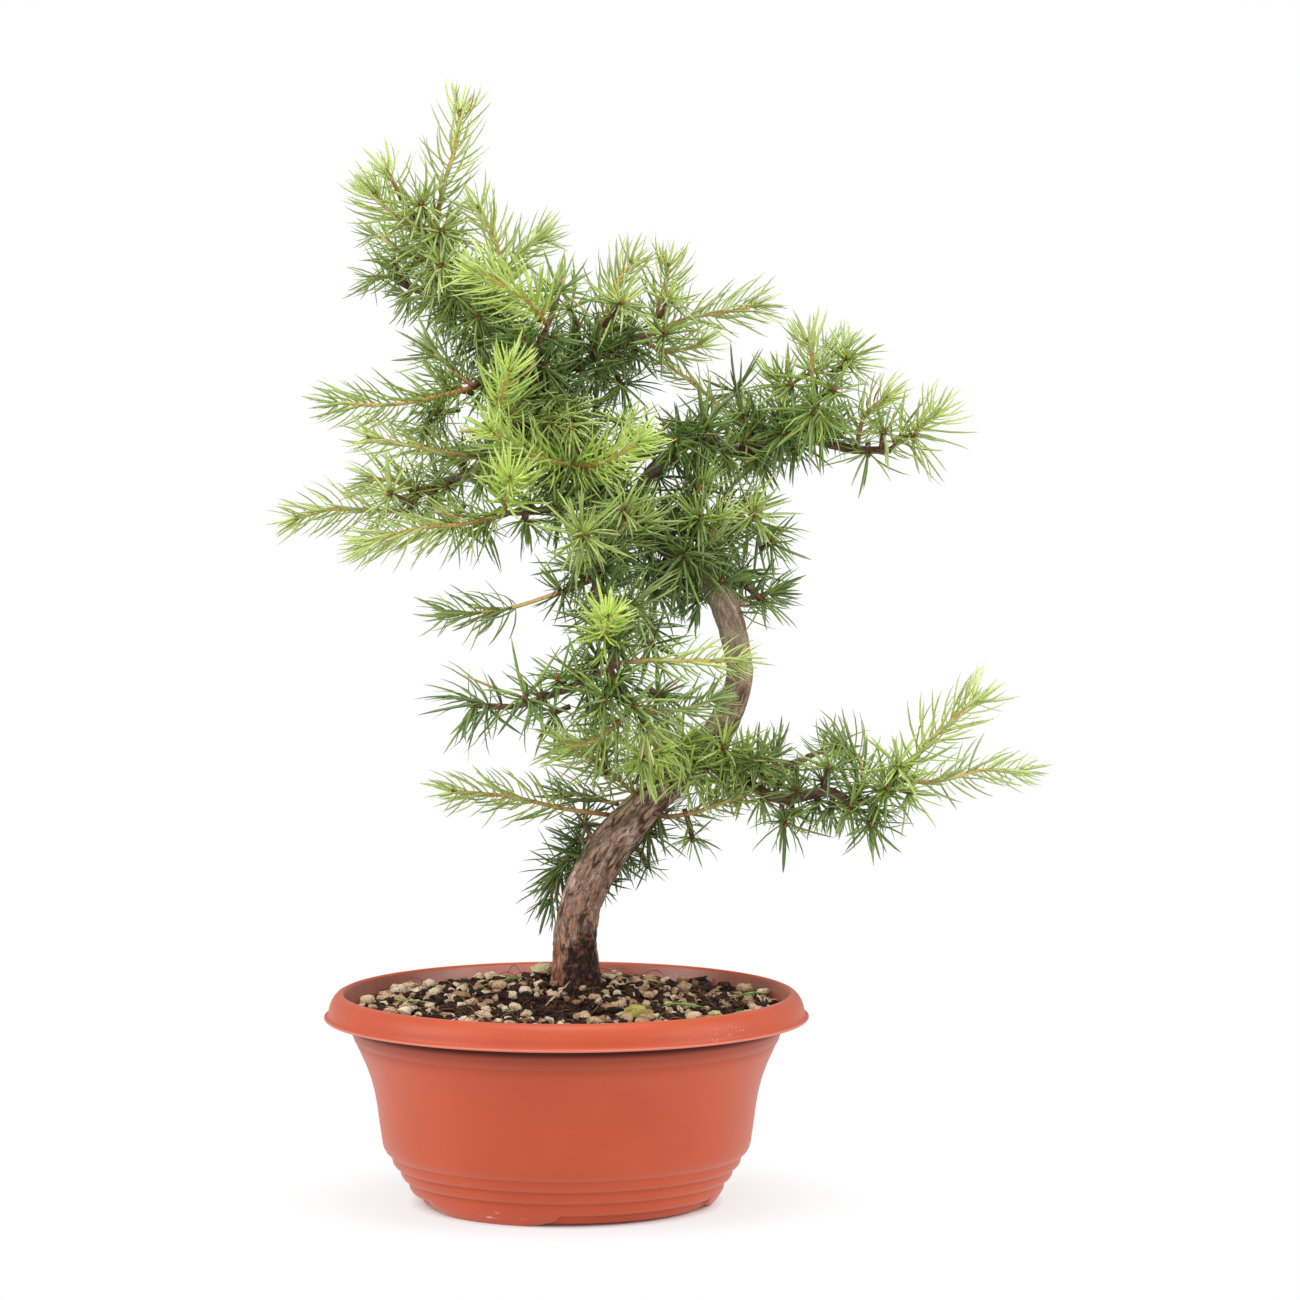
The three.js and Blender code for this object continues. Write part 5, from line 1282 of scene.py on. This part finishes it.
# ------------------------------------------------------------------ side growth
# Smaller side shoots and spurs of the same kind, which grow from the limbs and the stems and fill
# the gaps between the named ones.
SIDE_GROWTH = [  # tone, needle length, how full it is, kind, and its stem
    ("light", 19, 0.7, shoot, (-11, -20, 407), (-8, -17, 414), (-5, -15, 421)),
    ("dark", 22, 0.9, spur, (11, 30, 384), (14, 26, 382)),
    ("dark", 22, 0.9, spur, (18, 34, 390), (25, 36, 376)),
    ("dark", 20, 0.9, spur, (-7, 12, 381), (-3, 8, 376)),
    ("dark", 21, 0.9, spur, (10, 26, 392), (4, 20, 399)),
    ("dark", 21, 0.9, spur, (-16, -8, 401), (-19, -16, 398)),
    ("mid", 20, 1.1, shoot, (102, 22, 354), (101, 16, 363), (99, 12, 372), (97, 8, 379)),
    ("mid", 19, 0.9, shoot, (86, 24, 347), (84, 26, 356), (82, 28, 363)),
    ("light", 19, 0.9, spur, (123, 12, 382), (129, 8, 385)),
    ("mid", 20, 1.0, spur, (-50, -14, 365), (-58, -22, 364)),
    ("mid", 20, 0.9, spur, (-61, -22, 363), (-63, -28, 356)),
    ("mid", 19, 0.9, spur, (-44, -10, 373), (-54, -8, 375)),
    ("light", 21, 1.0, shoot, (-62, 24, 326), (-72, 22, 329), (-82, 20, 332), (-92, 18, 332)),
    ("dark", 21, 0.9, spur, (-30, -30, 320), (-37, -34, 314)),
    ("mid", 21, 0.9, spur, (-46, -36, 322), (-51, -38, 315)),
    ("dark", 26, 0.9, spur, (38, -1, 303), (40, -6, 291)),
    ("dark", 22, 0.9, spur, (40, -6, 291), (41, -8, 282)),
    ("dark", 24, 0.9, spur, (47, 0, 296), (49, 0, 287)),
    ("dark", 22, 0.9, spur, (12, -44, 298), (5, -46, 295)),
    ("dark", 21, 0.8, spur, (3, -38, 285), (-1, -42, 284)),
    ("dark", 20, 0.7, spur, (9, -70, 246), (6, -74, 249)),
    ("dark", 20, 0.6, spur, (1, -72, 244), (-2, -76, 247)),
    ("dark", 20, 0.5, spur, (-7, -74, 240), (-10, -78, 240)),
    ("mid", 24, 0.9, spur, (21, -50, 281), (31, -50, 278)),
    ("mid", 21, 0.9, spur, (24, -62, 241), (31, -68, 235)),
    ("light", 20, 0.9, spur, (21, -60, 241), (15, -60, 234)),
    ("light", 21, 1.0, spur, (34, -58, 230), (36, -60, 224)),
    ("light", 20, 0.9, spur, (57, 6, 202), (57, -2, 208)),
    ("light", 22, 1.0, shoot, (34, 16, 184), (22, 4, 196), (12, -6, 204), (2, -12, 210)),
    ("mid", 21, 1.0, spur, (18, 0, 199), (17, -6, 208)),
    ("light", 19, 0.9, spur, (43, 10, 195), (37, 2, 205)),
    ("dark", 20, 1.0, shoot, (22, 26, 181), (10, 34, 183), (-3, 38, 185)),
    ("dark", 19, 0.8, spur, (11, 30, 164), (5, 36, 162)),
    ("dark", 19, 0.8, spur, (2, 40, 155), (-4, 46, 149)),
    ("dark", 21, 0.9, spur, (20, 24, 156), (22, 38, 154)),
    ("dark", 22, 0.9, spur, (38, 22, 180), (42, 28, 177)),
    ("dark", 20, 0.8, spur, (8, 28, 140), (14, 40, 143)),
    ("mid", 20, 1.0, spur, (143, -28, 189), (146, -38, 194)),
    ("light", 19, 1.0, spur, (148, -28, 194), (156, -30, 192)),
    ("mid", 17, 0.8, spur, (128, -24, 188), (129, -32, 185)),
    ("light", 21, 0.8, spur, (145, 14, 347), (146, 8, 354)),
    ("mid", 22, 0.4, spur, (139, 15, 348), (139, 15, 345)),
    ("mid", 20, 0.8, spur, (84, 10, 282), (90, 12, 277)),
    ("light", 21, 0.9, shoot, (61, 2, 293), (65, -5, 303), (68, -8, 310), (71, -10, 315)),
    ("light", 22, 0.9, spur, (-63, 10, 443), (-69, 8, 453)),
    ("mid", 19, 0.8, spur, (-74, 28, 422), (-79, 22, 432)),
    ("light", 21, 0.9, spur, (43, 28, 407), (47, 26, 414)),
    ("mid", 21, 0.9, spur, (5, 8, 405), (2, 4, 411)),
    ("light", 24, 1.0, spur, (13, -46, 313), (9, -62, 310)),
    ("bright", 21, 1.0, spur, (62, 8, 202), (64, -6, 200)),
    ("light", 20, 1.0, spur, (72, 6, 209), (76, -4, 203)),
    ("light", 20, 1.0, spur, (69, 8, 200), (72, 0, 194)),
    ("mid", 19, 0.9, spur, (118, -22, 194), (120, -26, 202)),
    ("dark", 19, 0.9, spur, (11, 26, 166), (8, 32, 170)),
    ("dark", 20, 0.9, spur, (34, 24, 171), (38, 32, 167)),
    ("light", 22, 0.9, spur, (-72, -40, 325), (-78, -44, 328)),
    ("light", 22, 1.0, spur, (29, -36, 315), (26, -44, 321)),
    ("mid", 22, 1.0, spur, (57, 0, 310), (61, -12, 315)),
    ("bright", 24, 1.0, spur, (54, 6, 205), (52, -10, 211)),
    ("light", 24, 0.8, spur, (50, 2, 202), (57, -12, 198)),
    ("bright", 20, 0.9, spur, (32, 4, 194), (38, -8, 201)),
    ("light", 24, 0.6, spur, (152, 12, 351), (159, 4, 353)),
    ("bright", 26, 0.8, shoot, (34, -6, 225), (39, -14, 215), (44, -20, 208)),
    ("bright", 20, 0.9, spur, (69, 4, 205), (72, -8, 210)),
    ("bright", 20, 0.9, spur, (79, 4, 202), (83, -6, 206)),
    ("light", 20, 0.8, shoot, (-3, 2, 368), (0, -10, 362), (3, -20, 357)),
    ("light", 20, 0.8, shoot, (-12, 4, 371), (-9, -8, 365), (-6, -18, 359)),
    ("light", 20, 0.9, spur, (84, 6, 314), (86, -4, 317)),
    ("light", 19, 0.9, spur, (-60, 6, 444), (-57, -3, 446)),
    ("light", 19, 0.9, spur, (-57, 6, 432), (-57, -5, 431)),
    ("dark", 20, 0.9, spur, (-50, 8, 419), (-50, -4, 417)),
    ("mid", 20, 0.9, spur, (-42, 6, 410), (-40, -4, 407)),
    ("light", 20, 0.9, spur, (-65, 6, 454), (-66, -2, 458)),
    ("mid", 20, 0.9, spur, (-3, 0, 337), (-4, -10, 334)),
    ("dark", 20, 0.9, spur, (56, 10, 335), (59, 4, 330)),
    ("light", 20, 0.9, spur, (-23, 0, 368), (-21, -12, 370)),
    ("light", 20, 0.9, spur, (-17, 2, 358), (-14, -10, 357)),
    ("bright", 20, 0.9, spur, (38, -14, 204), (35, -24, 207)),
    ("dark", 20, 0.9, spur, (49, 6, 348), (50, -4, 351)),
    ("dark", 21, 0.9, spur, (63, 14, 355), (64, 4, 357)),
    ("dark", 20, 0.9, spur, (39, -4, 269), (38, -12, 266)),
    ("dark", 20, 0.8, spur, (37, -50, 263), (39, -46, 260)),
    ("dark", 20, 0.9, spur, (39, -58, 241), (42, -52, 238)),
    ("dark", 20, 0.8, spur, (1, -62, 233), (-4, -62, 231)),
    ("mid", 20, 0.9, spur, (103, 6, 373), (103, -2, 376)),
    ("mid", 20, 0.9, spur, (119, 2, 372), (122, -6, 374)),
    ("light", 19, 0.9, spur, (127, 8, 385), (129, 4, 388)),
    ("mid", 19, 0.9, spur, (91, 16, 301), (94, 14, 303)),
    ("light", 18, 0.65, shoot, (-75, -2, 461), (-78, -6, 468), (-81, -10, 474)),
    ("mid", 20, 0.9, spur, (43, 24, 396), (45, 20, 399)),
]
side_pieces = {tone: new_spray() for tone in TONES}
draw = random.Random(91)
for tone, length, fullness, grow, *points in SIDE_GROWTH:
    grow(side_pieces[tone], points, length, fullness, draw)
for tone, (bm, _, _) in side_pieces.items():
    leafy_piece(bm, "side_growth_" + tone, tone)
